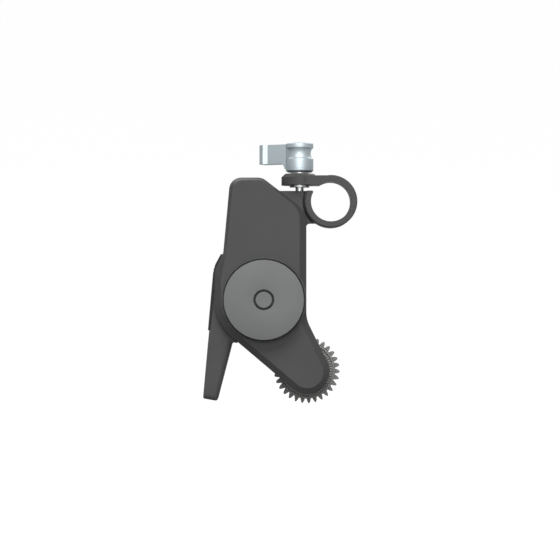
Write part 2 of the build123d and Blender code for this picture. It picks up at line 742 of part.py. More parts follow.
# ---- Bearings ---------------------------------------------------------------------------
bearing_spots = (
    ("knob_bearing_front", knob_centre, front_bearing_back, bearing_r, shaft_r),
    ("knob_bearing_rear", knob_centre, rear_bearing_back, bearing_r, shaft_r),
    ("output_bearing_rear", output_centre, arm_bearing_back, bearing_r, shaft_r),
    ("output_bearing_front", output_centre, small_bearing_back, small_bearing_r, small_journal_r),
)
bearings = []
for name, centre, back, outer, inner in bearing_spots:
    with BuildPart() as bearing:
        tube(centre, outer, inner + running, back, back + bearing_thick)
        shield_middle = (outer + inner + running) / 2
        for low in (back, back + bearing_thick - shield_step):
            with BuildSketch(on_axis(centre, low)):
                Circle(shield_middle + shield_half)
                Circle(shield_middle - shield_half, mode=Mode.SUBTRACT)
            extrude(amount=shield_step, mode=Mode.SUBTRACT)
    bearing.part.label = name
    bearings.append(bearing.part)

# ---- Gears of the train -----------------------------------------------------------------
with BuildPart() as knob_gear:
    gear(knob_centre, train_module, knob_gear_teeth, knob_gear_phase, train_back, train_front)
    post(knob_centre, shaft_shoulder_r, train_front, front_bearing_back - running)
    post(knob_centre, shaft_r + snug, train_back, front_bearing_back, Mode.SUBTRACT)
knob_gear.part.label = "knob_gear"

with BuildPart() as wheel_gear:
    gear(knob_centre, motor_module, wheel_gear_teeth, wheel_gear_phase, wheel_back, wheel_front)
    post(knob_centre, brake_disc_r, wheel_front, disc_front)
    post(knob_centre, hub_post_r, disc_front, train_back - snug)
    post(knob_centre, shaft_r + snug, wheel_back, train_back, Mode.SUBTRACT)
wheel_gear.part.label = "wheel_gear"

with BuildPart() as knob_spacer:
    spacer_back = rear_bearing_back + bearing_thick + running
    tube(knob_centre, shaft_shoulder_r, shaft_r + snug, spacer_back, wheel_back - snug)
knob_spacer.part.label = "knob_spacer"

with BuildPart() as idler_gear:
    gear(idler_centre, train_module, idler_teeth, idler_phase, train_back, train_front)
    post(idler_centre, idler_pin_r + running, train_back, train_front, Mode.SUBTRACT)
idler_gear.part.label = "idler_gear"

with BuildPart() as output_gear:
    gear(output_centre, train_module, output_teeth, output_phase, train_back, train_front)
    post(output_centre, shaft_r + snug, train_back, train_front, Mode.SUBTRACT)
output_gear.part.label = "output_gear"

with BuildPart() as reduction_gear:
    pinion_front = wheel_front - play
    gear(
        reduction_centre,
        motor_module,
        reduction_teeth,
        reduction_phase,
        reduction_back,
        reduction_front,
    )
    gear(
        reduction_centre,
        motor_module,
        reduction_pinion_teeth,
        reduction_pinion_phase,
        reduction_front,
        pinion_front,
    )
    pin_bore = reduction_pin_r + running
    post(reduction_centre, pin_bore, reduction_back, pinion_front, Mode.SUBTRACT)
reduction_gear.part.label = "reduction_gear"

with BuildPart() as motor_pinion:
    pinion_low = reduction_back - pinion_overhang
    pinion_high = reduction_front + pinion_overhang
    gear(
        motor_centre,
        motor_module,
        motor_pinion_teeth,
        motor_pinion_phase,
        pinion_low,
        pinion_high,
    )
    post(motor_centre, motor_shaft_r + snug, pinion_low, pinion_high, Mode.SUBTRACT)
motor_pinion.part.label = "motor_pinion"

# ---- Pins -------------------------------------------------------------------------------
with BuildPart() as idler_pin:
    post(idler_centre, idler_pin_r, seam_depth, ceiling_depth)
idler_pin.part.label = "idler_pin"

with BuildPart() as reduction_pin:
    post(reduction_centre, reduction_pin_r, plate_back, ceiling_depth)
reduction_pin.part.label = "reduction_pin"

# ---- Motor ------------------------------------------------------------------------------
with BuildPart() as motor_body:
    post(motor_centre, motor_r, motor_back, ceiling_depth)
    nose_back = motor_back - motor_nose
    post(motor_centre, motor_nose_r, nose_back, motor_back)
    post(motor_centre, motor_shaft_r + running, nose_back, motor_bore_end, Mode.SUBTRACT)
motor_body.part.label = "motor_body"

with BuildPart() as motor_shaft:
    post(motor_centre, motor_shaft_r, motor_shaft_end, motor_bore_end - play)
motor_shaft.part.label = "motor_shaft"

# ---- Output shaft and drive gear --------------------------------------------------------
with BuildPart() as output_shaft:
    journal_back = small_bearing_back - running
    turned(
        output_centre,
        (0, small_seat - running),
        (small_journal_r, small_seat - running),
        (small_journal_r, journal_back),
        (shaft_shoulder_r, journal_back),
        (shaft_shoulder_r, train_front + snug),
        (shaft_r, train_front + snug),
        (shaft_r, drive_back + play),
        (gear_screw_r + snug, drive_back + play),
        (gear_screw_r + snug, drive_back + gear_screw_length + play),
        (0, drive_back + gear_screw_length + play),
    )
output_shaft.part.label = "output_shaft"

with BuildPart() as output_spacer:
    spacer_low = arm_bearing_front + running
    tube(output_centre, shaft_shoulder_r, shaft_r + snug, spacer_low, train_back - snug)
output_spacer.part.label = "output_spacer"

with BuildPart() as drive_gear:
    with BuildSketch(on_axis(output_centre, drive_back)):
        with BuildLine():
            corners = gear_points(
                drive_module,
                drive_teeth,
                drive_pressure,
                drive_backlash,
                drive_phase,
                drive_flank_steps,
            )
            Polyline(*corners, close=True)
        make_face()
    extrude(amount=drive_front - drive_back)
    for low, inner in ((drive_front - recess_depth, hub_face_r), (drive_back, drive_hub_r)):
        with BuildSketch(on_axis(output_centre, low)):
            Circle(recess_r)
            Circle(inner, mode=Mode.SUBTRACT)
        extrude(amount=recess_depth, mode=Mode.SUBTRACT)
    with BuildSketch(on_axis(output_centre, drive_front - recess_depth)):
        with PolarLocations((rib_in_r + rib_out_r) / 2, rib_count):
            Rectangle(rib_out_r - rib_in_r, rib_wide)
    extrude(amount=recess_depth)
    post(output_centre, hub_front_r, drive_front, hub_front)
    post(output_centre, shaft_shoulder_r, hub_front, arm_bearing_back - running)
    post(output_centre, shaft_r + snug, drive_back, arm_bearing_back, Mode.SUBTRACT)
drive_gear.part.label = "drive_gear"

with BuildPart() as gear_screw:
    post(output_centre, gear_screw_head_r, drive_back - gear_screw_head, drive_back)
    post(output_centre, gear_screw_r, drive_back, drive_back + gear_screw_length)
    with BuildSketch(on_axis(output_centre, drive_back - gear_screw_head)):
        RegularPolygon(gear_screw_key_r, 6)
    extrude(amount=gear_screw_head / 2, mode=Mode.SUBTRACT)
gear_screw.part.label = "gear_screw"

# ---- Brake lever ------------------------------------------------------------------------
with BuildPart() as brake_lever:
    with BuildSketch(at(lever_back)):
        with BuildLine():
            corners = (*lever_edge, lever_toe, lever_heel, lever_notch, *lever_lobe)
            rounds = {
                lever_toe: lever_tip_round,
                lever_heel: lever_tip_round,
                lever_notch: lever_notch_round,
            }
            radii = [rounds.get(corner, 0) for corner in corners]
            FilletPolyline(*beside_body(corners), radius=radii, close=True)
        make_face()
        with Locations(lever_pin):
            Circle(lever_boss_r)
        with Locations(knob_centre):
            Circle(lever_inner_r, mode=Mode.SUBTRACT)
    extrude(amount=lever_front - lever_back)
    with BuildSketch(at(paddle_back)):
        with BuildLine():
            top_left = on_line(lever_edge[-1], lever_toe, paddle_z)
            top_right = on_line(lever_heel, lever_notch, paddle_z)
            corners = (top_left, lever_toe, lever_heel, top_right)
            rounds = (0, lever_tip_round, lever_tip_round, 0)
            FilletPolyline(*beside_body(corners), radius=rounds, close=True)
        make_face()
    extrude(amount=lever_back - paddle_back)
    post(lever_pin, lever_pin_r + running, lever_back, lever_front, Mode.SUBTRACT)
brake_lever.part.label = "brake_lever"

with BuildPart() as brake_shoe:
    with BuildSketch(on_axis(knob_centre, shoe_back)):
        Circle(lever_inner_r)
        Circle(brake_disc_r + brake_gap, mode=Mode.SUBTRACT)
        with Locations((-lever_inner_r, 0)):
            Rectangle(lever_inner_r, shoe_tall, mode=Mode.INTERSECT)
    extrude(amount=shoe_front - shoe_back)
brake_shoe.part.label = "brake_shoe"

with BuildPart() as lever_pin_part:
    post(lever_pin, lever_pin_r, plate_back, ceiling_depth)
lever_pin_part.part.label = "lever_pin"

with BuildPart() as lever_spring:
    coil(
        lever_pin,
        lever_pin_r + lever_wire,
        lever_wire,
        lever_coil_turns,
        lever_front + play,
        lever_boss_back,
    )
lever_spring.part.label = "lever_spring"

# ---- Electronics ------------------------------------------------------------------------
with BuildPart() as circuit_board:
    with BuildSketch(at(board_back)):
        with BuildLine():
            Polyline(
                (body_left_x + board_in, board_bottom_z),
                (board_right_x, board_bottom_z),
                *board_slant,
                (board_neck_x, board_top_z),
                (board_neck_x, board_neck_z),
                (body_left_x + board_in, board_neck_z),
                close=True,
            )
        make_face()
    extrude(amount=board_front - board_back)
circuit_board.part.label = "circuit_board"

with BuildPart() as data_ports:
    for height in port_z:
        with BuildSketch(Plane.YZ.offset(port_mouth_x)):
            with Locations((-port_depth, height)):
                RectangleRounded(2 * port_half_high, 2 * port_half_long, port_half_high - 0.05)
                RectangleRounded(
                    2 * port_half_high - port_shell,
                    2 * port_half_long - port_shell,
                    port_half_high - port_shell,
                    mode=Mode.SUBTRACT,
                )
        extrude(amount=port_long)
        with BuildSketch(Plane.YZ.offset(port_mouth_x + port_long - 1)):
            with Locations((-port_depth, height)):
                RectangleRounded(2 * port_half_high, 2 * port_half_long, port_half_high - 0.05)
        extrude(amount=1)
        with BuildSketch(Plane.YZ.offset(port_mouth_x + 1)):
            with Locations((-port_depth, height)):
                Rectangle(port_tongue, port_tongue_long)
        extrude(amount=port_long - 1.5)
data_ports.part.label = "data_ports"

with BuildPart() as button_switch:
    with BuildSketch(on_axis(knob_centre, board_front)):
        Rectangle(switch_size, switch_size)
    extrude(amount=switch_high)
    stem_tip = plunger_tip - button_travel - running
    post(knob_centre, switch_stem_r, board_front + switch_high, stem_tip)
button_switch.part.label = "button_switch"

with BuildPart() as port_cover:
    with BuildSketch(at(strip_back)):
        cover_face()
        offset(amount=strip_thick)
        with Locations((body_left_x + strip_in, (strip_top_z + strip_bottom_z) / 2)):
            Rectangle(
                port_long + strip_thick,
                strip_top_z - strip_bottom_z,
                align=(Align.MAX, Align.CENTER),
                mode=Mode.INTERSECT,
            )
        for step in range(ridge_count):
            share = (step + 0.5) / ridge_count
            spot = (
                body_left_x + ridge_start[0] + share * (ridge_end[0] - ridge_start[0]),
                ridge_start[1] + share * (ridge_end[1] - ridge_start[1]),
            )
            with Locations(spot):
                Circle(ridge_r)
        with BuildLine() as cover_line:
            cover_outline()
        make_face(cover_line.edges(), mode=Mode.SUBTRACT)
    extrude(amount=strip_front - strip_back)
port_cover.part.label = "port_cover"

# ---- Clamp ------------------------------------------------------------------------------
with BuildPart() as clamp_screw:
    turned_on_screw(
        (0, screw_end_z),
        (screw_r - 0.3, screw_end_z),
        (screw_r, screw_end_z + 0.3),
        (screw_r, screw_top_z),
        (0, screw_top_z),
    )
clamp_screw.part.label = "clamp_screw"

with BuildPart() as clamp_insert:
    turned_on_screw(
        (screw_r + running, jaw_top_z - insert_length),
        (insert_r, jaw_top_z - insert_length),
        (insert_r, jaw_top_z),
        (screw_r + running, jaw_top_z),
    )
clamp_insert.part.label = "clamp_insert"

with BuildPart() as retaining_collar:
    turned_on_screw(
        (screw_r + snug, collar_plate_z),
        (collar_plate_r, collar_plate_z),
        (collar_plate_r, collar_plate_z + collar_plate_thick),
        (screw_r + snug, collar_plate_z + collar_plate_thick),
    )
retaining_collar.part.label = "retaining_collar"

with BuildPart() as clamp_washer:
    turned_on_screw(
        (screw_r + running, boss_top_z),
        (washer_r, boss_top_z),
        (washer_r, hub_bottom_z),
        (screw_r + running, hub_bottom_z),
    )
clamp_washer.part.label = "clamp_washer"

with BuildPart() as clamp_lever:
    with BuildSketch(Plane(origin=(screw_x, 0, 0), x_dir=(1, 0, 0), z_dir=(0, -1, 0))):
        with BuildLine():
            Polyline(
                (hub_r, neck_bottom_z),
                (hub_r, hub_bottom_z + hub_bevel),
                (hub_r - hub_bevel, hub_bottom_z),
                (0, hub_bottom_z),
                (0, hub_top_z),
                (hub_r - hub_top_bevel, hub_top_z),
                (hub_r, hub_top_z - hub_top_bevel),
                (hub_r, neck_top_z),
            )
            ThreePointArc((hub_r, neck_top_z), (neck_r, neck_z), (hub_r, neck_bottom_z))
        make_face()
    revolve(axis=Axis((screw_x, 0, 0), (0, 0, 1)))
    lean = math.radians(paddle_turn)
    outward = (-math.cos(lean), math.sin(lean), 0)
    half = paddle_thick / 2
    with BuildSketch(
        Plane(origin=(screw_x, 0, paddle_bottom_z), x_dir=outward, z_dir=(0, 0, 1))
    ):
        with BuildLine():
            FilletPolyline(
                (0, -half),
                (paddle_reach, -half),
                (paddle_reach, half),
                (thumb_stop_out, half + thumb_stop_high),
                (thumb_stop_in, half),
                (0, half),
                radius=(0, paddle_end_round, paddle_end_round, 0.2, 0, 0),
                close=True,
            )
        make_face()
    extrude(amount=paddle_top_z - paddle_bottom_z)
    gusset_low_z = paddle_bottom_z - gusset_round
    with BuildSketch(
        Plane(origin=(screw_x, 0, 0), x_dir=outward, z_dir=(outward[1], -outward[0], 0))
    ):
        with BuildLine():
            Polyline(
                (hub_r, gusset_low_z),
                (0, gusset_low_z),
                (0, paddle_bottom_z),
                (hub_r + gusset_round, paddle_bottom_z),
            )
            RadiusArc(
                (hub_r + gusset_round, paddle_bottom_z), (hub_r, gusset_low_z), gusset_round
            )
        make_face()
    extrude(amount=half, both=True)
    screw_hole(screw_r + snug, hub_bottom_z, screw_top_z)
clamp_lever.part.label = "clamp_lever"

# ---- Write every piece ------------------------------------------------------------------
pieces = [
    front_housing.part,
    gear_plate.part,
    rear_cover.part,
    case_screws.part,
    arm_screw_part.part,
    focus_knob.part,
    knob_collar.part,
    knob_shaft.part,
    knob_screws.part,
    knob_circlip.part,
    knob_spacer.part,
    knob_gear.part,
    wheel_gear.part,
    button.part,
    button_clip.part,
    button_spring.part,
    button_switch.part,
    *bearings,
    idler_gear.part,
    idler_pin.part,
    output_gear.part,
    output_shaft.part,
    output_spacer.part,
    drive_gear.part,
    gear_screw.part,
    reduction_gear.part,
    reduction_pin.part,
    motor_body.part,
    motor_shaft.part,
    motor_pinion.part,
    brake_lever.part,
    brake_shoe.part,
    lever_pin_part.part,
    lever_spring.part,
    circuit_board.part,
    data_ports.part,
    port_cover.part,
    clamp_lever.part,
    clamp_screw.part,
    clamp_insert.part,
    clamp_washer.part,
    retaining_collar.part,
]
os.makedirs("parts", exist_ok=True)
for piece in pieces:
    export_step(piece, f"parts/{piece.label}.step")
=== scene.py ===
"""Looks of a motorised follow focus, built round its packed mechanical model.

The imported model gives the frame: its nodes are true to size in metres, the rod clamp's bore is at
the origin, +Y is the back and +Z is up. This script paints every node that shows, replaces the
pieces that earn finer modelling, and sets the camera, the lamps and the pale studio floor.
"""

import logging  # noqa: E402
import math  # noqa: E402
from collections.abc import Callable, Iterable, Mapping, Sequence  # noqa: E402
from dataclasses import dataclass  # noqa: E402
from enum import Enum  # noqa: E402
from functools import cache  # noqa: E402

import bpy  # noqa: E402
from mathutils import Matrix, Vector  # noqa: E402


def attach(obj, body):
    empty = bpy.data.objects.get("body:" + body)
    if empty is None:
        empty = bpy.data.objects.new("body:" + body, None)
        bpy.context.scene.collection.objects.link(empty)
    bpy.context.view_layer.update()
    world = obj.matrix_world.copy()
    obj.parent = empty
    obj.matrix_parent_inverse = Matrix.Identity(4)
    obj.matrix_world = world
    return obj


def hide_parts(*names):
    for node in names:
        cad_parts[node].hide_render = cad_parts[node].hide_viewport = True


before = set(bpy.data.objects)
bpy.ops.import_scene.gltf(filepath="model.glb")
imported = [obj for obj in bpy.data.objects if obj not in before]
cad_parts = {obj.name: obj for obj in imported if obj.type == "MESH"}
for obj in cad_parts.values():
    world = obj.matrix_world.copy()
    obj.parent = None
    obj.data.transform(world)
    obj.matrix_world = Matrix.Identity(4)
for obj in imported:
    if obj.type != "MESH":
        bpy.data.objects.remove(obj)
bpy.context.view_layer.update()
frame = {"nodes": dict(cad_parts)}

log = logging.getLogger("follow_focus")

Colour = tuple[float, float, float]
Point = tuple[float, float]
Place = tuple[float, float, float]
Node = bpy.types.Node
Piece = bpy.types.Object
Socket = bpy.types.NodeSocket
Tree = bpy.types.NodeTree

# ---- Measures shared by several pieces, in metres ----------------------------------------
WHEEL_AXIS: Point = (-0.0256, -0.0376)
GEAR_AXIS: Point = (-0.0090673, -0.0651151)
CLAMP_SCREW_X = -0.01194
MERGE = 1e-6  # points closer than this become one
TOUCH = 1e-5  # places closer than this count as the same

# ---- Values shared by all finishes -------------------------------------------------------
BUMP_HEIGHT = 0.00002
BUMP_STRENGTH = 0.6
COAT_ROUGHNESS = 0.25
DRIFT_STOPS = (0.3, 0.7)
DUST_TONE = 190
DUST_SHARE = 0.4
ROUGHNESS_DRIFT = 0.05
RUB_POLISH = -0.15
LINE_SCALE = 1400.0


def linear(colour: Colour) -> tuple[float, float, float, float]:
    """Turn a display colour into the linear one that the shaders take.

    Args:
        colour: Red, green and blue from 0 to 255, as they look on a screen.

    Returns:
        Red, green, blue and an alpha of 1, in linear light.
    """
    mixed = []
    for part in colour:
        share = part / 255
        mixed.append(share / 12.92 if share <= 0.04045 else ((share + 0.055) / 1.055) ** 2.4)
    return mixed[0], mixed[1], mixed[2], 1.0


# ---- Shader nodes and groups -------------------------------------------------------------
def feed(tree: Tree, node: Node, values: Mapping[str | int, object]) -> None:
    """Link or set a node's inputs.

    Args:
        tree: The tree that holds the node.
        node: The node.
        values: Input names or places, each with a socket to link or a value to set.
    """
    for label, value in values.items():
        if isinstance(value, bpy.types.NodeSocket):
            tree.links.new(value, node.inputs[label])
        else:
            node.inputs[label].default_value = value


def add_node(
    tree: Tree, kind: str, values: Mapping[str | int, object] | None = None, **settings: object
) -> Node:
    """Add a shader node.

    Args:
        tree: The tree it goes in.
        kind: The node's type, without the word ShaderNode.
        values: Input names or places, each with a socket to link or a value to set.
        settings: The node's own settings.

    Returns:
        The new node.
    """
    node = tree.nodes.new(f"ShaderNode{kind}")
    for name, setting in settings.items():
        setattr(node, name, setting)
    feed(tree, node, values or {})
    return node


def add_math(
    tree: Tree, operation: str, first: Socket | float, second: Socket | float, clamp: bool = False
) -> Socket:
    """Add a math node.

    Args:
        tree: The tree it goes in.
        operation: The operation's name.
        first: A socket or a number.
        second: A socket or a number.
        clamp: Whether the result stays between 0 and 1.

    Returns:
        The node's output socket.
    """
    values = {0: first, 1: second}
    return add_node(tree, "Math", values, operation=operation, use_clamp=clamp).outputs[0]


class Groups:
    """The shader groups that several finishes share, each of them built once."""

    edge_gain = 12.0  # an edge that turns by 24 degrees or more counts in full
    patch_scale = 260.0
    patch_floor = 0.38
    patch_gain = 3.0
    speck_scale = 420.0
    speck_radius = 0.05

    @staticmethod
    def start(
        name: str, inputs: Mapping[str, float], outputs: Sequence[str]
    ) -> tuple[Tree, Node, Node]:
        """Open a new group with its sockets.

        Args:
            name: The group's name.
            inputs: Each input's name and default value.
            outputs: Each output's name; "Normal" becomes a vector, the rest are numbers.

        Returns:
            The group, its input node and its output node.
        """
        tree = bpy.data.node_groups.new(name, "ShaderNodeTree")
        for label, value in inputs.items():
            made = tree.interface.new_socket(label, in_out="INPUT", socket_type="NodeSocketFloat")
            made.default_value = value
        for label in outputs:
            kind = "NodeSocketVector" if label == "Normal" else "NodeSocketFloat"
            tree.interface.new_socket(label, in_out="OUTPUT", socket_type=kind)
        return tree, tree.nodes.new("NodeGroupInput"), tree.nodes.new("NodeGroupOutput")

    @staticmethod
    @cache
    def grain() -> Tree:
        """Return the moulded or sprayed grain: a fine height and a slow drift of tone.

        Returns:
            The group, with Height and Drift outputs.
        """
        tree, given, result = Groups.start(
            "paint_grain", {"Scale": 2500.0, "Drift Scale": 40.0}, ("Height", "Drift")
        )
        place = add_node(tree, "TexCoord").outputs["Object"]
        for label, detail, output in (("Scale", 3.0, "Height"), ("Drift Scale", 2.0, "Drift")):
            values = {"Vector": place, "Scale": given.outputs[label], "Detail": detail}
            noise = add_node(tree, "TexNoise", values)
            feed(tree, result, {output: noise.outputs["Fac"]})
        return tree

    @staticmethod
    @cache
    def soft_edge() -> Tree:
        """Return the small radius that every edge of a real casting or turning has.

        Returns:
            The group, with Normal and Edge outputs.
        """
        tree, given, result = Groups.start("soft_edge", {"Radius": 0.0003}, ("Normal", "Edge"))
        rounder = add_node(tree, "Bevel", {"Radius": given.outputs["Radius"]}, samples=6)
        rounded = rounder.outputs["Normal"]
        flat = add_node(tree, "NewGeometry").outputs["Normal"]
        turn = add_node(tree, "VectorMath", {0: rounded, 1: flat}, operation="DOT_PRODUCT")
        away = add_math(tree, "SUBTRACT", 1.0, turn.outputs["Value"])
        edge = add_math(tree, "MULTIPLY", away, Groups.edge_gain, clamp=True)
        feed(tree, result, {"Normal": rounded, "Edge": edge})
        return tree

    @staticmethod
    @cache
    def wear_highlight_and_dust() -> Tree:
        """Return broken patches of lighter edges, partly wear and partly a painted highlight, and a
        sparse dust of specks.

        Returns:
            The group, with an edge-lightening output and a Dust output.
        """
        tree, given, result = Groups.start(
            "edge_wear_highlight_and_dust", {"Edge": 0.0, "Edge Wear And Highlight": 0.3, "Dust": 0.1}, ("Edge Wear And Highlight", "Dust")
        )
        place = add_node(tree, "TexCoord").outputs["Object"]
        values = {"Vector": place, "Scale": Groups.patch_scale, "Detail": 4.0}
        patch = add_node(tree, "TexNoise", values)
        speck = add_node(tree, "TexVoronoi", {"Vector": place, "Scale": Groups.speck_scale})
        broken = add_math(tree, "SUBTRACT", patch.outputs["Fac"], Groups.patch_floor)
        broken = add_math(tree, "MULTIPLY", broken, Groups.patch_gain, clamp=True)
        # lighter edges: partly wear, partly a painted highlight along every edge
        edge_wear_and_highlight = add_math(tree, "MULTIPLY", broken, given.outputs["Edge"])
        edge_wear_and_highlight = add_math(tree, "MULTIPLY", edge_wear_and_highlight, given.outputs["Edge Wear And Highlight"], clamp=True)
        near = add_math(tree, "LESS_THAN", speck.outputs["Distance"], Groups.speck_radius)
        dust = add_math(tree, "MULTIPLY", near, given.outputs["Dust"], clamp=True)
        feed(tree, result, {"Edge Wear And Highlight": edge_wear_and_highlight, "Dust": dust})
        return tree

    @staticmethod
    @cache
    def tool_lines(along: str) -> Tree:
        """Return the fine lines that a lathe or a brush leaves.

        Args:
            along: "X", "Y" or "Z", the axis that the lines lie across.

        Returns:
            The group, with one Height output.
        """
        name = f"tool_lines_{along.lower()}"
        tree, given, result = Groups.start(name, {"Scale": LINE_SCALE}, ("Height",))
        values = {
            "Vector": add_node(tree, "TexCoord").outputs["Object"],
            "Scale": given.outputs["Scale"],
            "Distortion": 3.0,
            "Detail": 3.0,
        }
        bands = add_node(tree, "TexWave", values, wave_type="BANDS", bands_direction=along)
        feed(tree, result, {"Height": bands.outputs["Fac"]})
        return tree


class Texture(Enum):
    """How a finish is broken up at close range; the lines of a lathe name their axis."""

    GRAINED = ""
    TURNED_UP = "Z"
    TURNED_THROUGH = "Y"


@dataclass(frozen=True)
class Finish:
    """One surface finish and the material it makes."""

    name: str
    colour: Colour
    # the lighter colour mixed in along edges: partly wear, partly a painted highlight
    edge_wear_and_highlight: Colour
    roughness: float
    metallic: float = 0.0
    texture: Texture = Texture.GRAINED
    grain_scale: float = 2600.0
    edge_radius: float = 0.00025
    # how strongly that lighter edge colour, wear and painted highlight, is mixed in
    edge_wear_and_highlight_share: float = 0.25
    dust: float = 0.05
    drift: float = 0.06
    coat: float = 0.0
    specular: float = 0.5

    def material(self) -> bpy.types.Material:
        """Return this finish's material, building it the first time."""
        return bpy.data.materials.get(self.name) or self._build()

    def _build(self) -> bpy.types.Material:
        """Build the material's nodes.

        Returns:
            The new material.
        """
        made = bpy.data.materials.new(self.name)
        made.use_nodes = True
        tree = made.node_tree
        radius = {"Radius": self.edge_radius}
        grain = add_node(tree, "Group", {"Scale": self.grain_scale}, node_tree=Groups.grain())
        edge = add_node(tree, "Group", radius, node_tree=Groups.soft_edge())
        values = {"Edge": edge.outputs["Edge"], "Edge Wear And Highlight": self.edge_wear_and_highlight_share, "Dust": self.dust}
        marks = add_node(tree, "Group", values, node_tree=Groups.wear_highlight_and_dust())
        relief = {
            "Strength": BUMP_STRENGTH,
            "Distance": BUMP_HEIGHT,
            "Height": self._height(tree, grain),
            "Normal": edge.outputs["Normal"],
        }
        surface = {
            "Base Color": self._colour(tree, grain, marks),
            "Roughness": self._roughness(tree, grain, marks),
            "Normal": add_node(tree, "Bump", relief).outputs["Normal"],
            "Metallic": self.metallic,
            "Specular IOR Level": self.specular,
            "Coat Weight": self.coat,
            "Coat Roughness": COAT_ROUGHNESS,
        }
        feed(tree, tree.nodes["Principled BSDF"], surface)
        return made

    def _height(self, tree: Tree, grain: Node) -> Socket:
        """Choose the height that the bump reads: grain, or the lines of a lathe.

        Args:
            tree: The material's nodes.
            grain: The placed grain group.

        Returns:
            The height's output socket.
        """
        if self.texture is Texture.GRAINED:
            return grain.outputs["Height"]
        lines = Groups.tool_lines(self.texture.value)
        return add_node(tree, "Group", {"Scale": LINE_SCALE}, node_tree=lines).outputs["Height"]

    def _colour(self, tree: Tree, grain: Node, marks: Node) -> Socket:
        """Join the base colour: slow drift, lighter edges that are partly wear and partly a painted
        highlight, and specks of dust.

        Args:
            tree: The material's nodes.
            grain: The placed grain group.
            marks: The placed group of lighter edges and dust.

        Returns:
            The colour's output socket.
        """
        ramp = add_node(tree, "ValToRGB", {"Fac": grain.outputs["Drift"]})
        for stop, position, side in zip(ramp.color_ramp.elements, DRIFT_STOPS, (-1, 1)):
            stop.position = position
            stop.color = linear(tuple(c * (1 + side * self.drift) for c in self.colour))
        colour = ramp.outputs["Color"]
        dusty = tuple((1 - DUST_SHARE) * c + DUST_SHARE * DUST_TONE for c in self.colour)
        # the lighter edge colour (wear and painted highlight), then the dust
        for mask, paint in (("Edge Wear And Highlight", self.edge_wear_and_highlight), ("Dust", dusty)):
            values = {"Factor": marks.outputs[mask], "A": colour, "B": linear(paint)}
            colour = add_node(tree, "Mix", values, data_type="RGBA").outputs["Result"]
        return colour

    def _roughness(self, tree: Tree, grain: Node, marks: Node) -> Socket:
        """Join the roughness: it drifts with the tone and drops along the worn edges.

        Args:
            tree: The material's nodes.
            grain: The placed grain group.
            marks: The placed group of lighter edges and dust.

        Returns:
            The roughness's output socket.
        """
        values = {
            "Value": grain.outputs["Drift"],
            "To Min": self.roughness - ROUGHNESS_DRIFT,
            "To Max": self.roughness + ROUGHNESS_DRIFT,
        }
        spread = add_node(tree, "MapRange", values).outputs["Result"]
        values = {0: marks.outputs["Edge Wear And Highlight"], 1: RUB_POLISH, 2: spread}
        return add_node(tree, "Math", values, operation="MULTIPLY_ADD").outputs["Value"]


# ---- The finishes of this object ---------------------------------------------------------
# The casing's strong edge share lightens every edge: a painted highlight along its edges as well as
# worn paint.
CASING = Finish(
    "casing_black_paint", (72, 72, 72), (94, 93, 92), 0.5,
    edge_radius=0.0003, edge_wear_and_highlight_share=0.5, drift=0.04, specular=0.15,
)
LEVER = Finish(
    "lever_black_paint", (76, 76, 76), (98, 97, 96), 0.42,
    edge_radius=0.0005, edge_wear_and_highlight_share=0.2, drift=0.04, specular=0.1,
)
WHEEL = Finish(
    "wheel_satin_grey", (116, 117, 117), (134, 134, 133), 0.6,
    grain_scale=3600.0, drift=0.03, specular=0.12,
)
# The collar's strong edge share gives its rim a light line: a painted highlight as well as wear.
COLLAR = Finish(
    "collar_dark_grey", (84, 84, 84), (120, 120, 120), 0.45,
    texture=Texture.TURNED_THROUGH, edge_wear_and_highlight_share=0.6, specular=0.15,
)
GEAR = Finish(
    "gear_moulded_grey", (124, 124, 123), (156, 156, 154), 0.55,
    edge_radius=0.00015, edge_wear_and_highlight_share=0.9, specular=0.12,
)
# This lighter grey on the gear's bead and recess ribs is a painted highlight, not a rubbed finish.
PAINTED_HIGHLIGHT_RIM = Finish(
    "gear_rim_painted_highlight", (158, 158, 156), (178, 178, 176), 0.45,
    edge_radius=0.00008, edge_wear_and_highlight_share=0.4, specular=0.2,
)
RUBBER = Finish(
    "port_cover_rubber", (62, 62, 63), (80, 80, 80), 0.8, dust=0.2, edge_wear_and_highlight_share=0.1, specular=0.1
)
BLASTED = Finish(
    "clamp_blasted_aluminium", (174, 184, 189), (202, 209, 212), 0.54,
    metallic=1.0, grain_scale=5200.0, drift=0.02, dust=0.0,
)
STEEL = Finish(
    "turned_steel", (186, 187, 188), (215, 215, 215), 0.3,
    metallic=1.0, texture=Texture.TURNED_UP, dust=0.0, drift=0.02,
)
SHAFT_STEEL = Finish(
    "ground_steel", (176, 177, 179), (205, 205, 205), 0.3,
    metallic=1.0, texture=Texture.TURNED_THROUGH, dust=0.0,
)
BLACK_STEEL = Finish("blackened_steel", (52, 52, 54), (96, 96, 98), 0.42, metallic=0.8)
BRASS = Finish(
    "cut_brass", (206, 178, 116), (232, 212, 160), 0.32,
    metallic=1.0, texture=Texture.TURNED_THROUGH,
)
NYLON = Finish("inner_black_nylon", (40, 40, 41), (60, 60, 60), 0.6)
BOARD = Finish("board_green_mask", (24, 82, 50), (60, 120, 80), 0.35, coat=0.4)

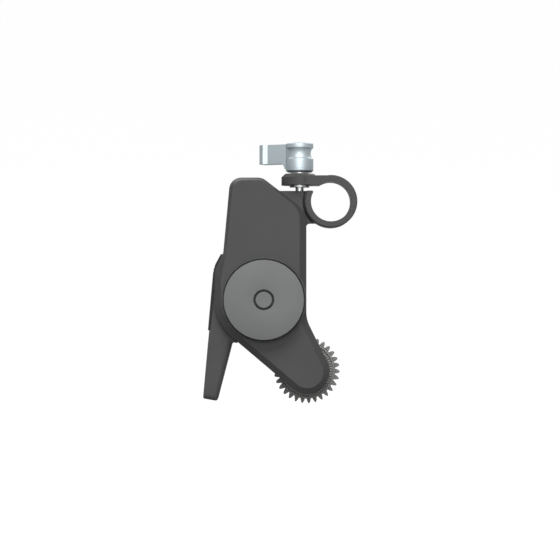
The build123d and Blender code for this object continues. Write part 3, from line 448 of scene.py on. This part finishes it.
NODE_FINISHES: dict[Finish, tuple[str, ...]] = {
    CASING: ("front_housing", "gear_plate", "rear_cover"),
    LEVER: ("brake_lever",),
    WHEEL: ("focus_knob", "button"),
    COLLAR: ("knob_collar",),
    GEAR: ("drive_gear",),
    RUBBER: ("port_cover", "brake_shoe"),
    BLASTED: ("clamp_lever",),
    STEEL: ("clamp_washer", "clamp_screw", "retaining_collar"),
    SHAFT_STEEL: (
        "knob_shaft",
        "knob_circlip",
        "knob_spacer",
        "knob_bearing_front",
        "knob_bearing_rear",
        "output_bearing_front",
        "output_bearing_rear",
        "output_shaft",
        "output_spacer",
        "idler_pin",
        "reduction_pin",
        "lever_pin",
        "lever_spring",
        "button_spring",
        "button_clip",
        "motor_body",
        "motor_shaft",
        "data_ports",
    ),
    BLACK_STEEL: ("case_screws", "arm_screw", "gear_screw", "knob_screws"),
    BRASS: ("knob_gear", "wheel_gear", "idler_gear", "output_gear", "motor_pinion", "clamp_insert"),
    NYLON: ("reduction_gear", "button_switch"),
    BOARD: ("circuit_board",),
}


# ---- Modelling by hand -------------------------------------------------------------------
class Bench:
    """The steps that the pieces are made with."""

    rounding_steps = 2
    rounding_angle = math.radians(32.0)  # edges sharper than this are rounded
    crisp_angle = 30.0  # degrees; edges sharper than this stay crisp in the shading
    flat_angle = math.radians(1.0)  # faces that turn by less than this are one

    @staticmethod
    def take(*pieces: Piece) -> None:
        """Leave edit mode and select these pieces alone, the first of them active.

        Args:
            pieces: The objects, or none to deselect everything.
        """
        if bpy.context.object and bpy.context.object.mode != "OBJECT":
            bpy.ops.object.mode_set(mode="OBJECT")
        bpy.ops.object.select_all(action="DESELECT")
        for piece in pieces:
            piece.select_set(True)
        if pieces:
            bpy.context.view_layer.objects.active = pieces[0]

    @staticmethod
    def open(piece: Piece) -> None:
        """Open a piece in edit mode with all of it selected.

        Args:
            piece: The object.
        """
        Bench.take(piece)
        bpy.ops.object.mode_set(mode="EDIT")
        bpy.ops.mesh.select_all(action="SELECT")

    @staticmethod
    def heal() -> None:
        """Merge the open piece's doubles and point its faces outwards."""
        bpy.ops.mesh.select_all(action="SELECT")
        bpy.ops.mesh.remove_doubles(threshold=MERGE)
        bpy.ops.mesh.normals_make_consistent(inside=False)

    @staticmethod
    def rest(name: str) -> Piece:
        """Name the new active object, put its place into its mesh and open it.

        Args:
            name: The piece's name.

        Returns:
            The object, at the origin, unturned and unscaled, in edit mode.
        """
        piece = bpy.context.active_object
        piece.name = name
        bpy.ops.object.transform_apply(location=True, rotation=True, scale=True)
        Bench.open(piece)
        return piece

    @staticmethod
    def pick(piece: Piece, kind: str, test: Callable[[Vector], bool]) -> int:
        """Select the vertices, edges or faces whose middle passes a test.

        Args:
            piece: The object, in edit mode.
            kind: "VERT", "EDGE" or "FACE".
            test: Says yes or no to a middle point in metres.

        Returns:
            How many were selected.
        """
        bpy.ops.mesh.select_mode(type=kind)
        bpy.ops.mesh.select_all(action="DESELECT")
        bpy.ops.object.mode_set(mode="OBJECT")
        mesh = piece.data
        if kind == "VERT":
            parts = [(vertex, vertex.co) for vertex in mesh.vertices]
        elif kind == "EDGE":
            place = [vertex.co for vertex in mesh.vertices]
            parts = [(e, (place[e.vertices[0]] + place[e.vertices[1]]) / 2) for e in mesh.edges]
        else:
            parts = [(face, face.center) for face in mesh.polygons]
        count = 0
        for part, middle in parts:
            part.select = test(middle)
            count += part.select
        bpy.ops.object.mode_set(mode="EDIT")
        return count

    @staticmethod
    def lathe(
        name: str, axis: Point, profile: Sequence[Point], sides: int, through: bool = False
    ) -> Piece:
        """Turn a piece about a front-to-back axis by extruding and resizing a circle.

        Args:
            name: The piece's name.
            axis: The axis's X and Z in metres.
            profile: Radius and depth in metres, depth towards the front, in order. A piece
                with a hole right through repeats its first point last.
            sides: How many sides the piece has.
            through: Whether the piece has a hole right through.

        Returns:
            The finished object.
        """
        Bench.take()
        radius, depth = profile[0]
        bpy.ops.mesh.primitive_circle_add(
            vertices=sides,
            radius=radius,
            fill_type="NOTHING" if through else "NGON",
            location=(axis[0], -depth, axis[1]),
            rotation=(math.pi / 2, 0, 0),
        )
        piece = Bench.rest(name)
        for (old_r, old_d), (new_r, new_d) in zip(profile, profile[1:]):
            step = {"value": (0.0, old_d - new_d, 0.0)}
            if through:
                bpy.ops.mesh.extrude_edges_move(TRANSFORM_OT_translate=step)
            else:
                bpy.ops.mesh.extrude_region_move(TRANSFORM_OT_translate=step)
            share = new_r / old_r
            here = (axis[0], -new_d, axis[1])
            bpy.ops.transform.resize(value=(share, 1.0, share), center_override=here)
        Bench.heal()
        bpy.ops.object.mode_set(mode="OBJECT")
        return piece

    @staticmethod
    def ring_of(piece: Piece, axis: Point, count: int) -> None:
        """Copy all of a piece round a front-to-back axis.

        Args:
            piece: The object to copy, inside its own mesh.
            axis: The axis's X and Z in metres.
            count: How many there are in the full ring.
        """
        Bench.open(piece)
        bpy.ops.mesh.spin(
            steps=count,
            dupli=True,
            angle=2 * math.pi,
            center=(axis[0], 0.0, axis[1]),
            axis=(0.0, 1.0, 0.0),
        )
        Bench.heal()
        bpy.ops.object.mode_set(mode="OBJECT")

    @staticmethod
    def turn(piece: Piece, axis: Point, angle: float) -> None:
        """Turn all of a piece about a front-to-back axis.

        Args:
            piece: The object.
            axis: The axis's X and Z in metres.
            angle: The turn in radians, from the right towards the top.
        """
        Bench.open(piece)
        here = (axis[0], 0.0, axis[1])
        bpy.ops.transform.rotate(value=angle, orient_axis="Y", center_override=here)
        bpy.ops.object.mode_set(mode="OBJECT")

    @staticmethod
    def join(name: str, *pieces: Piece) -> Piece:
        """Join pieces into the first one.

        Args:
            name: The joined piece's name.
            pieces: The objects to join.

        Returns:
            The joined object.
        """
        Bench.take(*pieces)
        bpy.ops.object.join()
        pieces[0].name = name
        return pieces[0]

    @staticmethod
    def trace(node: str, name: str) -> Piece:
        """Start a piece from a node's own shape, with its corners merged and its faces whole.

        Args:
            node: The node to start from, which stays as it is.
            name: The piece's name.

        Returns:
            The new piece, in edit mode.
        """
        Bench.take()
        piece = bpy.data.objects.new(name, frame["nodes"][node].data.copy())
        bpy.context.scene.collection.objects.link(piece)
        Bench.take(piece)
        bpy.ops.mesh.customdata_custom_splitnormals_clear()
        Bench.open(piece)
        Bench.heal()
        bpy.ops.mesh.dissolve_limited(angle_limit=Bench.flat_angle)
        return piece

    @staticmethod
    def finish(piece: Piece, width: float = 0.0, crisp: float = crisp_angle) -> Piece:
        """Round a piece's edges and smooth its shading.

        Args:
            piece: The object.
            width: The rounding's width in metres, or 0 for none.
            crisp: Edges sharper than this many degrees stay crisp in the shading.

        Returns:
            The same object.
        """
        Bench.take(piece)
        if width > 0:
            bevel = piece.modifiers.new("rounding", "BEVEL")
            bevel.width = width
            bevel.segments = Bench.rounding_steps
            bevel.limit_method = "ANGLE"
            bevel.angle_limit = Bench.rounding_angle
            bevel.use_clamp_overlap = True
            bpy.ops.object.modifier_apply(modifier=bevel.name)
        bpy.ops.object.shade_smooth_by_angle(angle=math.radians(crisp))
        return piece


def dress(piece: Piece, finish: Finish, body: str, nodes: Iterable[str] = ()) -> None:
    """Paint a piece and tie it to the model.

    Args:
        piece: The finished object.
        finish: Its finish.
        body: The body that it rides on.
        nodes: The model's nodes that it stands for.
    """
    piece.data.materials.clear()
    piece.data.materials.append(finish.material())
    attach(piece, body)
    if nodes:
        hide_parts(*nodes)
    log.info("%s: %d faces on %s", piece.name, len(piece.data.polygons), body)


# ---- Sub-assemblies ----------------------------------------------------------------------
@dataclass
class HandWheel:
    """The hand wheel with its grip and the button in its middle."""

    axis: Point = WHEEL_AXIS
    radius: float = 0.01515
    front: float = 0.014
    back: float = 0.0074
    bore: float = 0.00384
    bore_floor: float = 0.0110
    pocket_r: float = 0.00602
    pocket_top: float = 0.00875
    shaft_hole_r: float = 0.00095
    edge: float = 0.00022
    edge_share: float = 0.3  # how far the rim's middle point stands in from its square corner
    fine_round: float = 0.00006
    sides: int = 192
    grip_count: int = 96
    grip_deep: float = 0.00022
    grip_from: float = 0.0083
    grip_to: float = 0.0128
    rib_deep_share: float = 1.7  # a rib's depth, over the band's
    rib_wide: float = 0.00052
    rib_round: float = 0.00014
    button_r: float = 0.00307
    button_back: float = 0.0118
    button_foot_r: float = 0.00379
    button_foot: float = 0.0006
    button_edge: float = 0.00018
    button_land: float = 0.0005
    button_dish: tuple[Point, ...] = ((0.6, 0.0001), (0.2, 0.00014))  # share of radius, depth
    button_round: float = 0.00004
    button_sides: int = 96
    plunger_r: float = 0.00075
    plunger_tip: float = -0.0079

    def wheel(self) -> Piece:
        """Model the wheel: a turned disc with a sunk band round its side for the grip.

        Returns:
            The finished object.
        """
        band_r = self.radius - self.grip_deep
        corner = self.edge * self.edge_share
        profile = (
            (self.shaft_hole_r, self.pocket_top),
            (self.pocket_r, self.pocket_top),
            (self.pocket_r, self.back),
            (self.radius - self.edge, self.back),
            (self.radius, self.back + self.edge),
            (self.radius, self.grip_from),
            (band_r, self.grip_from + self.grip_deep),
            (band_r, self.grip_to - self.grip_deep),
            (self.radius, self.grip_to),
            (self.radius, self.front - self.edge),
            (self.radius - corner, self.front - corner),
            (self.radius - self.edge, self.front),
            (self.bore + self.edge, self.front),
            (self.bore, self.front - self.edge),
            (self.bore, self.bore_floor),
            (self.shaft_hole_r, self.bore_floor),
            (self.shaft_hole_r, self.pocket_top),
        )
        disc = Bench.lathe("hand_wheel_disc", self.axis, profile, self.sides, through=True)
        return Bench.finish(disc, self.fine_round)

    def grip(self) -> Piece:
        """Model the flutes of the grip: one rounded rib, copied round the wheel's side.

        Returns:
            The finished object.
        """
        Bench.take()
        low, high = self.grip_from + self.grip_deep, self.grip_to - self.grip_deep
        middle = self.axis[0] + self.radius - self.grip_deep
        bpy.ops.mesh.primitive_cube_add(
            size=1.0,
            location=(middle, -(low + high) / 2, self.axis[1]),
            scale=(self.grip_deep * self.rib_deep_share, high - low, self.rib_wide),
        )
        rib = Bench.rest("hand_wheel_grip")
        Bench.pick(rib, "EDGE", lambda p: p.x > middle + self.grip_deep / 2)
        bpy.ops.mesh.bevel(offset=self.rib_round, segments=2, affect="EDGES")
        Bench.ring_of(rib, self.axis, self.grip_count)
        return Bench.finish(rib)

    def button_base(self) -> Piece:
        """Model the button's black foot, which closes the gap round it, and its plunger.

        Returns:
            The finished object.
        """
        profile = (
            (self.plunger_r, self.plunger_tip),
            (self.plunger_r, self.button_back),
            (self.button_foot_r, self.button_back),
            (self.button_foot_r, self.button_back + self.button_foot),
        )
        base = Bench.lathe("wheel_button_base", self.axis, profile, self.button_sides)
        return Bench.finish(base, self.button_round)

    def button(self) -> Piece:
        """Model the button's cap, with its shallow dish.

        Returns:
            The finished object.
        """
        profile = (
            (self.button_r, self.button_back + self.button_foot),
            (self.button_r, self.front - self.button_edge),
            (self.button_r - self.button_edge, self.front),
            (self.button_r - self.button_land, self.front),
            *((self.button_r * share, self.front - deep) for share, deep in self.button_dish),
        )
        cap = Bench.lathe("wheel_button", self.axis, profile, self.button_sides)
        return Bench.finish(cap, self.button_round)

    def build(self) -> None:
        """Model and dress the sub-assembly."""
        dress(self.wheel(), WHEEL, "hand_wheel", ("focus_knob",))
        dress(self.grip(), WHEEL, "hand_wheel")
        dress(self.button(), WHEEL, "button", ("button",))
        dress(self.button_base(), NYLON, "button")


@dataclass
class DriveGear:
    """The lens gear at the end of the arm."""

    axis: Point = GEAR_AXIS
    teeth: int = 30
    module: float = 0.0008
    phase: float = math.radians(-2.3)
    root_drop: float = 1.22  # from the pitch circle down to the blank's side, in modules
    tooth_rows: tuple[Point, ...] = (  # height over the pitch circle and half width, in modules
        (-1.35, 1.02),
        (-0.6, 0.93),
        (0.0, 0.74),
        (0.6, 0.48),
        (1.0, 0.28),
    )
    row_reach: float = 0.4  # of the rows' spacing
    tooth_strip: float = 0.001  # the width of the strip that a tooth starts as
    tooth_round: float = 0.00016
    tip_margin: float = 0.00002
    sides: int = 120
    front: float = -0.0056
    back: float = -0.0128
    recess_r: float = 0.0103
    recess: float = 0.0009
    recess_draft: float = 0.0002
    bead_r: float = 0.0106
    bead_high: float = 0.00018
    hub_face_r: float = 0.008
    rear_hub_r: float = 0.006
    hub_r: float = 0.0044
    hub_front: float = -0.0047
    collar_r: float = 0.0031
    collar_front: float = -0.00415
    bore: float = 0.00252
    rib_in: float = 0.0089
    rib_out: float = 0.0097
    rib_wide: float = 0.00045
    rib_edge: float = 0.00006
    rib_count: int = 60

    def blank(self) -> Piece:
        """Model the gear's blank, with its recesses and its stepped hub.

        Returns:
            The object, in object mode.
        """
        root = self.module * (self.teeth / 2 - self.root_drop)
        shoulder = self.front - self.bead_high
        profile = (
            (self.bore, self.back),
            (self.rear_hub_r, self.back),
            (self.rear_hub_r + self.recess_draft, self.back + self.recess),
            (self.recess_r - self.recess_draft, self.back + self.recess),
            (self.recess_r, self.back),
            (root, self.back),
            (root, shoulder),
            (self.recess_r, shoulder),
            (self.recess_r - self.recess_draft / 2, self.front - self.recess),
            (self.hub_face_r, self.front - self.recess),
            (self.hub_face_r, self.front),
            (self.hub_r, self.front),
            (self.hub_r, self.hub_front),
            (self.collar_r, self.hub_front),
            (self.collar_r, self.collar_front),
            (self.bore, self.collar_front),
            (self.bore, self.back),
        )
        return Bench.lathe("drive_gear_blank", self.axis, profile, self.sides, through=True)

    def rim(self) -> Piece:
        """Model the bead round the front recess, painted lighter than the gear as a painted
        highlight.

        Returns:
            The object, in object mode.
        """
        low = self.front - 2 * self.bead_high
        profile = (
            (self.recess_r, low),
            (self.recess_r, self.front - self.bead_high / 3),
            (self.recess_r + self.bead_high / 3, self.front),
            (self.bead_r - self.bead_high / 2, self.front),
            (self.bead_r, self.front - self.bead_high / 2),
            (self.bead_r, low),
            (self.recess_r, low),
        )
        return Bench.lathe("drive_gear_rim", self.axis, profile, self.sides, through=True)

    def tooth_ring(self) -> Piece:
        """Model one tooth from a strip, round its tip, and copy it round the gear.

        Returns:
            The object, in object mode.
        """
        Bench.take()
        pitch = self.module * self.teeth / 2
        rows = [(pitch + up * self.module, half * self.module) for up, half in self.tooth_rows]
        low, high = rows[0][0], rows[-1][0]
        face = self.front - self.bead_high
        bpy.ops.mesh.primitive_grid_add(
            x_subdivisions=len(rows) - 1,
            y_subdivisions=1,
            size=1.0,
            location=(self.axis[0] + (low + high) / 2, -face, self.axis[1]),
            rotation=(math.pi / 2, 0, 0),
        )
        bpy.context.object.scale = (high - low, self.tooth_strip, 1.0)
        tooth = Bench.rest("drive_gear_teeth")
        step = (high - low) / (len(rows) - 1)
        reach = step * self.row_reach
        for index, (radius, half) in enumerate(rows):
            was = self.axis[0] + low + index * step
            Bench.pick(tooth, "VERT", lambda p, x=was: abs(p.x - x) < reach)
            here = (self.axis[0] + radius, -face, self.axis[1])
            widen = (1.0, 1.0, 2 * half / self.tooth_strip)
            bpy.ops.transform.resize(value=widen, center_override=here)
        for index, (radius, _) in enumerate(rows):
            was = self.axis[0] + low + index * step
            Bench.pick(tooth, "VERT", lambda p, x=was: abs(p.x - x) < reach)
            bpy.ops.transform.translate(value=(self.axis[0] + radius - was, 0.0, 0.0))
        bpy.ops.mesh.select_mode(type="FACE")
        bpy.ops.mesh.select_all(action="SELECT")
        depth = {"value": (0.0, face - self.back, 0.0)}
        bpy.ops.mesh.extrude_region_move(TRANSFORM_OT_translate=depth)
        Bench.heal()
        tip = self.axis[0] + high - self.tip_margin
        Bench.pick(tooth, "EDGE", lambda p: p.x > tip and abs(p.z - self.axis[1]) > TOUCH)
        bpy.ops.mesh.bevel(offset=self.tooth_round, segments=2, affect="EDGES")
        Bench.ring_of(tooth, self.axis, self.teeth)
        return tooth

    def rib_ring(self) -> Piece:
        """Model one stiffening rib of the front recess and copy it round the gear.

        Returns:
            The object, in object mode.
        """
        Bench.take()
        middle = self.axis[0] + (self.rib_in + self.rib_out) / 2
        bpy.ops.mesh.primitive_cube_add(
            size=1.0,
            location=(middle, -(self.front - self.recess / 2), self.axis[1]),
            scale=(self.rib_out - self.rib_in, self.recess, self.rib_wide),
        )
        rib = Bench.rest("drive_gear_ribs")
        Bench.pick(rib, "FACE", lambda p: p.y < -(self.front - TOUCH))
        bpy.ops.mesh.inset(thickness=self.rib_edge)
        Bench.ring_of(rib, self.axis, self.rib_count)
        return rib

    def build(self) -> None:
        """Model and dress the sub-assembly."""
        gear = Bench.join("lens_drive_gear", self.blank(), self.tooth_ring())
        Bench.turn(gear, self.axis, self.phase)
        Bench.finish(gear)
        dress(gear, GEAR, "output", ("drive_gear",))
        # The bead and the ribs take the lighter finish: a painted highlight on the bead's edge and
        # the rib tips.
        bright = Bench.join("drive_gear_rim", self.rim(), self.rib_ring())
        Bench.finish(bright)
        dress(bright, PAINTED_HIGHLIGHT_RIM, "output")


@dataclass
class BrakeLever:
    """The brake lever, with the large rounds of its paddle's inner side and tip."""

    front: float = -0.0018
    back: float = 0.008
    paddle_top: float = -0.0530
    toe: Point = (-0.0491, -0.0757)
    heel: Point = (-0.0436, -0.07665)
    notch: Point = (-0.0377, -0.0539)
    heel_inside: Point = (-0.044686, -0.07497)
    left_side: Point = (-0.0467, -0.0495)
    corner_reach: float = 0.0014
    shoulder: Point = (-0.0470, -0.0499)
    shoulder_reach: float = 0.0001
    shoulder_shift: Place = (0.0003, 0.0, 0.0004)
    line_reach: float = 0.0002
    large_round: float = 0.0021
    large_steps: int = 7
    ridge_share: float = 1.5  # how far a ridge is followed, over the large round
    heel_round: float = 0.0008
    toe_round: float = 0.0005
    corner_steps: int = 4
    fine_round: float = 0.00022

    @staticmethod
    def _apart(place: Vector, corner: Point) -> float:
        """Return how far a place lies from an upright corner, seen from the front."""
        return math.hypot(place.x - corner[0], place.z - corner[1])

    @staticmethod
    def _off_line(place: Vector, start: Point, end: Point) -> float:
        """Measure how far a place lies beside a line, seen from the front.

        Args:
            place: The place.
            start: One point of the line, X and Z.
            end: Another point of the line, X and Z.

        Returns:
            The distance in metres.
        """
        run = Vector((end[0] - start[0], end[1] - start[1]))
        away = Vector((place.x - start[0], place.z - start[1]))
        return abs(run.x * away.y - run.y * away.x) / run.length

    def _square_corner(self, lever: Piece, corner: Point) -> None:
        """Bring one rounded upright corner of the tip back to its sharp corner.

        Args:
            lever: The lever, in edit mode.
            corner: The sharp corner's X and Z.
        """
        for is_front in (True, False):
            Bench.pick(
                lever,
                "VERT",
                lambda p, f=is_front: self._apart(p, corner) < self.corner_reach
                and (abs(p.y - self.front) < TOUCH) is f,
            )
            bpy.ops.mesh.merge(type="CENTER")
            lever.update_from_editmode()
            middle = next(v.co.copy() for v in lever.data.vertices if v.select)
            bpy.ops.transform.translate(value=(corner[0] - middle.x, 0.0, corner[1] - middle.z))

    def _gets_large_round(self, place: Vector) -> bool:
        """Say whether an edge of the front face runs from notch to heel or on to the toe.

        Args:
            place: The edge's middle.

        Returns:
            True for an edge that gets the large round.
        """
        if abs(place.y - self.front) > TOUCH or place.z > self.paddle_top:
            return False
        ends = ((self.heel, self.notch), (self.toe, self.heel))
        return min(self._off_line(place, *line) for line in ends) < self.line_reach

    def _in_column(self, place: Vector, corner: Point, inside: Point) -> bool:
        """Say whether an edge belongs to a tip corner's upright or to the ridge before it.

        Args:
            place: The edge's middle.
            corner: The corner's X and Z.
            inside: A point that the ridge runs towards, X and Z.

        Returns:
            True for the corner's upright edge and for the ridge's edges.
        """
        if not self.front + TOUCH < place.y < self.back - TOUCH:
            return False
        near = self._apart(place, corner) < self.ridge_share * self.large_round
        return near and self._off_line(place, corner, inside) < 2 * TOUCH

    def build(self) -> None:
        """Model and dress the lever."""
        lever = Bench.trace("brake_lever", "brake_lever_shell")
        Bench.pick(lever, "VERT", lambda p: self._apart(p, self.shoulder) < self.shoulder_reach)
        bpy.ops.transform.translate(value=self.shoulder_shift)
        self._square_corner(lever, self.heel)
        self._square_corner(lever, self.toe)
        Bench.pick(lever, "EDGE", self._gets_large_round)
        bpy.ops.mesh.bevel(
            offset=self.large_round,
            segments=self.large_steps,
            affect="EDGES",
            clamp_overlap=False,
        )
        columns = (
            (self.heel, self.heel_inside, self.heel_round),
            (self.toe, self.left_side, self.toe_round),
        )
        for corner, inside, width in columns:
            Bench.pick(lever, "EDGE", lambda p, c=corner, i=inside: self._in_column(p, c, i))
            bpy.ops.mesh.bevel(
                offset=width, segments=self.corner_steps, affect="EDGES", clamp_overlap=False
            )
        Bench.finish(lever, self.fine_round)
        dress(lever, LEVER, "brake", ("brake_lever",))


@dataclass
class ClampLever:
    """The clamp lever, with its hollow gusset and a hub that stays whole behind the paddle."""

    screw_x: float = CLAMP_SCREW_X
    hub_r: float = 0.0053
    lean: float = math.radians(28.0)
    paddle_bottom: float = 0.0147
    gusset: float = 0.002
    waist_low: float = 0.0164
    waist_high: float = 0.0208
    cheek_turn: float = math.radians(40.0)
    cheek_in: float = 0.0027
    cheek_front: float = -0.0002
    cheek_margin: float = 0.00003
    cheek_sides: int = 96
    crisp: float = 15.0
    fine_round: float = 0.00015

    def _outward(self) -> Vector:
        """Return the direction in which the paddle stands off the hub."""
        return Vector((-math.cos(self.lean), math.sin(self.lean), 0.0))

    def _past_gusset(self, place: Vector) -> tuple[float, float]:
        """Measure a place from the centre of the gusset's round.

        Args:
            place: A point of the lever.

        Returns:
            How far out and how far down it lies from that centre.
        """
        out = (place - Vector((self.screw_x, 0.0, 0.0))).dot(self._outward()) - self.hub_r
        return out, self.paddle_bottom - place.z

    def hollow_gusset(self, lever: Piece) -> None:
        """Bring each row of the gusset's round to the other side of its chord.

        Args:
            lever: The lever, in edit mode.
        """
        lever.update_from_editmode()
        rows = set()
        for vertex in lever.data.vertices:
            out, down = self._past_gusset(vertex.co)
            if min(out, down) > TOUCH and abs(math.hypot(out, down) - self.gusset) < 2 * TOUCH:
                rows.add((round(out, 6), round(down, 6)))
        for row in rows:
            Bench.pick(
                lever, "VERT", lambda p, r=row: math.dist(self._past_gusset(p), r) < 2 * MERGE
            )
            inward = self.gusset - sum(row)
            bpy.ops.transform.translate(value=inward * (self._outward() - Vector((0, 0, 1))))
        log.info("clamp lever: %d rows of the gusset made hollow", len(rows))

    def cheek_wedge(self) -> Piece:
        """Model the stretch of the hub beside the paddle that the waist doesn't reach.

        Returns:
            The object, in edit mode.
        """
        Bench.take()
        bpy.ops.mesh.primitive_cylinder_add(
            vertices=self.cheek_sides,
            radius=self.hub_r - self.cheek_margin,
            depth=self.waist_high - self.waist_low,
            location=(self.screw_x, 0.0, (self.waist_high + self.waist_low) / 2),
        )
        wedge = Bench.rest("clamp_lever_cheek")
        corner = (self.screw_x - self.hub_r, self.cheek_front, 0.0)
        slant = (-math.cos(self.cheek_turn), -math.sin(self.cheek_turn), 0.0)
        inner = (self.screw_x - self.cheek_in, 0.0, 0.0)
        for place, away in ((corner, slant), (inner, (1.0, 0.0, 0.0)), (corner, (0.0, 1.0, 0.0))):
            bpy.ops.mesh.select_all(action="SELECT")
            bpy.ops.mesh.bisect(plane_co=place, plane_no=away, use_fill=True, clear_outer=True)
        return wedge

    def build(self) -> None:
        """Model and dress the lever."""
        lever = Bench.trace("clamp_lever", "clamp_lever_shell")
        self.hollow_gusset(lever)
        Bench.join("clamp_lever_shell", lever, self.cheek_wedge())
        Bench.finish(lever, self.fine_round, self.crisp)
        dress(lever, BLASTED, "clamp_turn", ("clamp_lever",))


@dataclass(frozen=True)
class Lamp:
    """One square softbox, turned to the object's middle."""

    name: str
    place: Place
    size: float
    power: float
    aim: Place = (-0.0195, 0.0, -0.03)

    def hang(self) -> None:
        """Make the lamp and turn it to the object."""
        lamp = bpy.data.lights.new(self.name, "AREA")
        lamp.shape = "SQUARE"
        lamp.size = self.size
        lamp.energy = self.power
        holder = bpy.data.objects.new(self.name, lamp)
        holder.location = self.place
        towards = Vector(self.aim) - Vector(self.place)
        holder.rotation_euler = towards.to_track_quat("-Z", "Y").to_euler()
        bpy.context.scene.collection.objects.link(holder)


@dataclass
class Studio:
    """Camera, lamps, backdrop and floor."""

    eye: Place = (-0.01948, -0.700, -0.03005)
    lens: float = 116.9
    sensor: float = 36.0
    near: float = 0.01
    far: float = 50.0
    lamps: tuple[Lamp, ...] = (
        Lamp("key_softbox", (-0.05, -1.05, 1.15), 0.90, 21.5),
        Lamp("front_softbox", (0.00, -1.45, 0.02), 0.95, 15.0),
        Lamp("rear_left_softbox", (-0.60, 1.05, 1.30), 1.00, 13.0),
        Lamp("rear_right_softbox", (0.60, 1.05, 1.30), 1.00, 13.0),
    )
    backdrop: Colour = (255, 255, 255)
    air: Colour = (205, 208, 212)
    air_strength: float = 0.03
    gloss_share: float = 0.7  # how bright gloss shows the backdrop, beside the camera's view
    paper: Colour = (100, 100, 100)
    paper_glow: float = 0.97
    floor_z: float = -0.16
    floor_size: float = 6.0
    rise: float = 3.0
    sweep_round: float = 1.2
    sweep_steps: int = 12
    edge_reach: float = 0.1

    def camera(self) -> None:
        """Place the camera level with the object's middle, looking straight back."""
        seen = bpy.data.cameras.new("studio_camera")
        seen.lens = self.lens
        seen.sensor_width = self.sensor
        seen.clip_start = self.near
        seen.clip_end = self.far
        holder = bpy.data.objects.new("studio_camera", seen)
        holder.location = self.eye
        holder.rotation_euler = (math.pi / 2, 0.0, 0.0)
        bpy.context.scene.collection.objects.link(holder)
        bpy.context.scene.camera = holder

    def _shown(self, tree: Tree) -> Socket:
        """Say how much of a backdrop shows: all to camera and glass, a share to gloss.

        Args:
            tree: The world's or the paper's nodes.

        Returns:
            The share's output socket.
        """
        rays = add_node(tree, "LightPath").outputs
        plain = add_math(tree, "MAXIMUM", rays["Is Camera Ray"], rays["Is Transmission Ray"])
        gloss = add_math(tree, "MULTIPLY", rays["Is Glossy Ray"], self.gloss_share)
        return add_math(tree, "MAXIMUM", plain, gloss)

    def surroundings(self) -> None:
        """Make the world: white where it shows, and hardly any light on the object."""
        world = bpy.data.worlds.new("studio_surroundings")
        world.use_nodes = True
        bpy.context.scene.world = world
        tree = world.node_tree
        tree.nodes.clear()
        values = {"Color": linear(self.air), "Strength": self.air_strength}
        air = add_node(tree, "Background", values).outputs["Background"]
        values = {"Color": linear(self.backdrop)}
        white = add_node(tree, "Background", values).outputs["Background"]
        mix = add_node(tree, "MixShader", {"Fac": self._shown(tree), 1: air, 2: white})
        add_node(tree, "OutputWorld", {"Surface": mix.outputs["Shader"]})

    def floor(self) -> None:
        """Lay the pale floor and let it rise behind the object as a sweep."""
        Bench.take()
        bpy.ops.mesh.primitive_plane_add(size=self.floor_size, location=(0.0, 0.0, self.floor_z))
        sweep = Bench.rest("studio_floor")
        far = self.floor_size / 2 - self.edge_reach
        Bench.pick(sweep, "EDGE", lambda p: p.y > far)
        rise = {"value": (0.0, 0.0, self.rise)}
        bpy.ops.mesh.extrude_edges_move(TRANSFORM_OT_translate=rise)
        low = self.floor_z + self.edge_reach
        Bench.pick(sweep, "EDGE", lambda p: p.y > far and p.z < low)
        bpy.ops.mesh.bevel(offset=self.sweep_round, segments=self.sweep_steps, affect="EDGES")
        Bench.finish(sweep)
        paper = bpy.data.materials.new("studio_white_paper")
        paper.use_nodes = True
        tree = paper.node_tree
        tree.nodes.clear()
        matt = add_node(tree, "BsdfDiffuse", {"Color": linear(self.paper)})
        strength = add_math(tree, "MULTIPLY", self._shown(tree), self.paper_glow)
        glow = add_node(tree, "Emission", {"Color": linear(self.backdrop), "Strength": strength})
        both = add_node(tree, "AddShader", {0: matt.outputs["BSDF"], 1: glow.outputs["Emission"]})
        add_node(tree, "OutputMaterial", {"Surface": both.outputs["Shader"]})
        sweep.data.materials.append(paper)

    def build(self) -> None:
        """Set up the whole studio."""
        bpy.context.scene.view_settings.view_transform = "Standard"
        self.camera()
        for lamp in self.lamps:
            lamp.hang()
        self.surroundings()
        self.floor()


def paint_nodes() -> None:
    """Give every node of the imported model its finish."""
    nodes = frame["nodes"]
    for finish, names in NODE_FINISHES.items():
        for name in names:
            nodes[name].data.materials.clear()
            nodes[name].data.materials.append(finish.material())
        log.info("%s: %d nodes painted", finish.name, len(names))
    left = set(nodes) - {name for names in NODE_FINISHES.values() for name in names}
    if left:
        log.warning("nodes with no finish: %s", sorted(left))


def main() -> None:
    """Build the studio and every sub-assembly in order."""
    logging.basicConfig(level=logging.INFO, format="%(name)s: %(message)s")
    Studio().build()
    paint_nodes()
    HandWheel().build()
    DriveGear().build()
    BrakeLever().build()
    ClampLever().build()


if __name__ == "__main__":
    main()
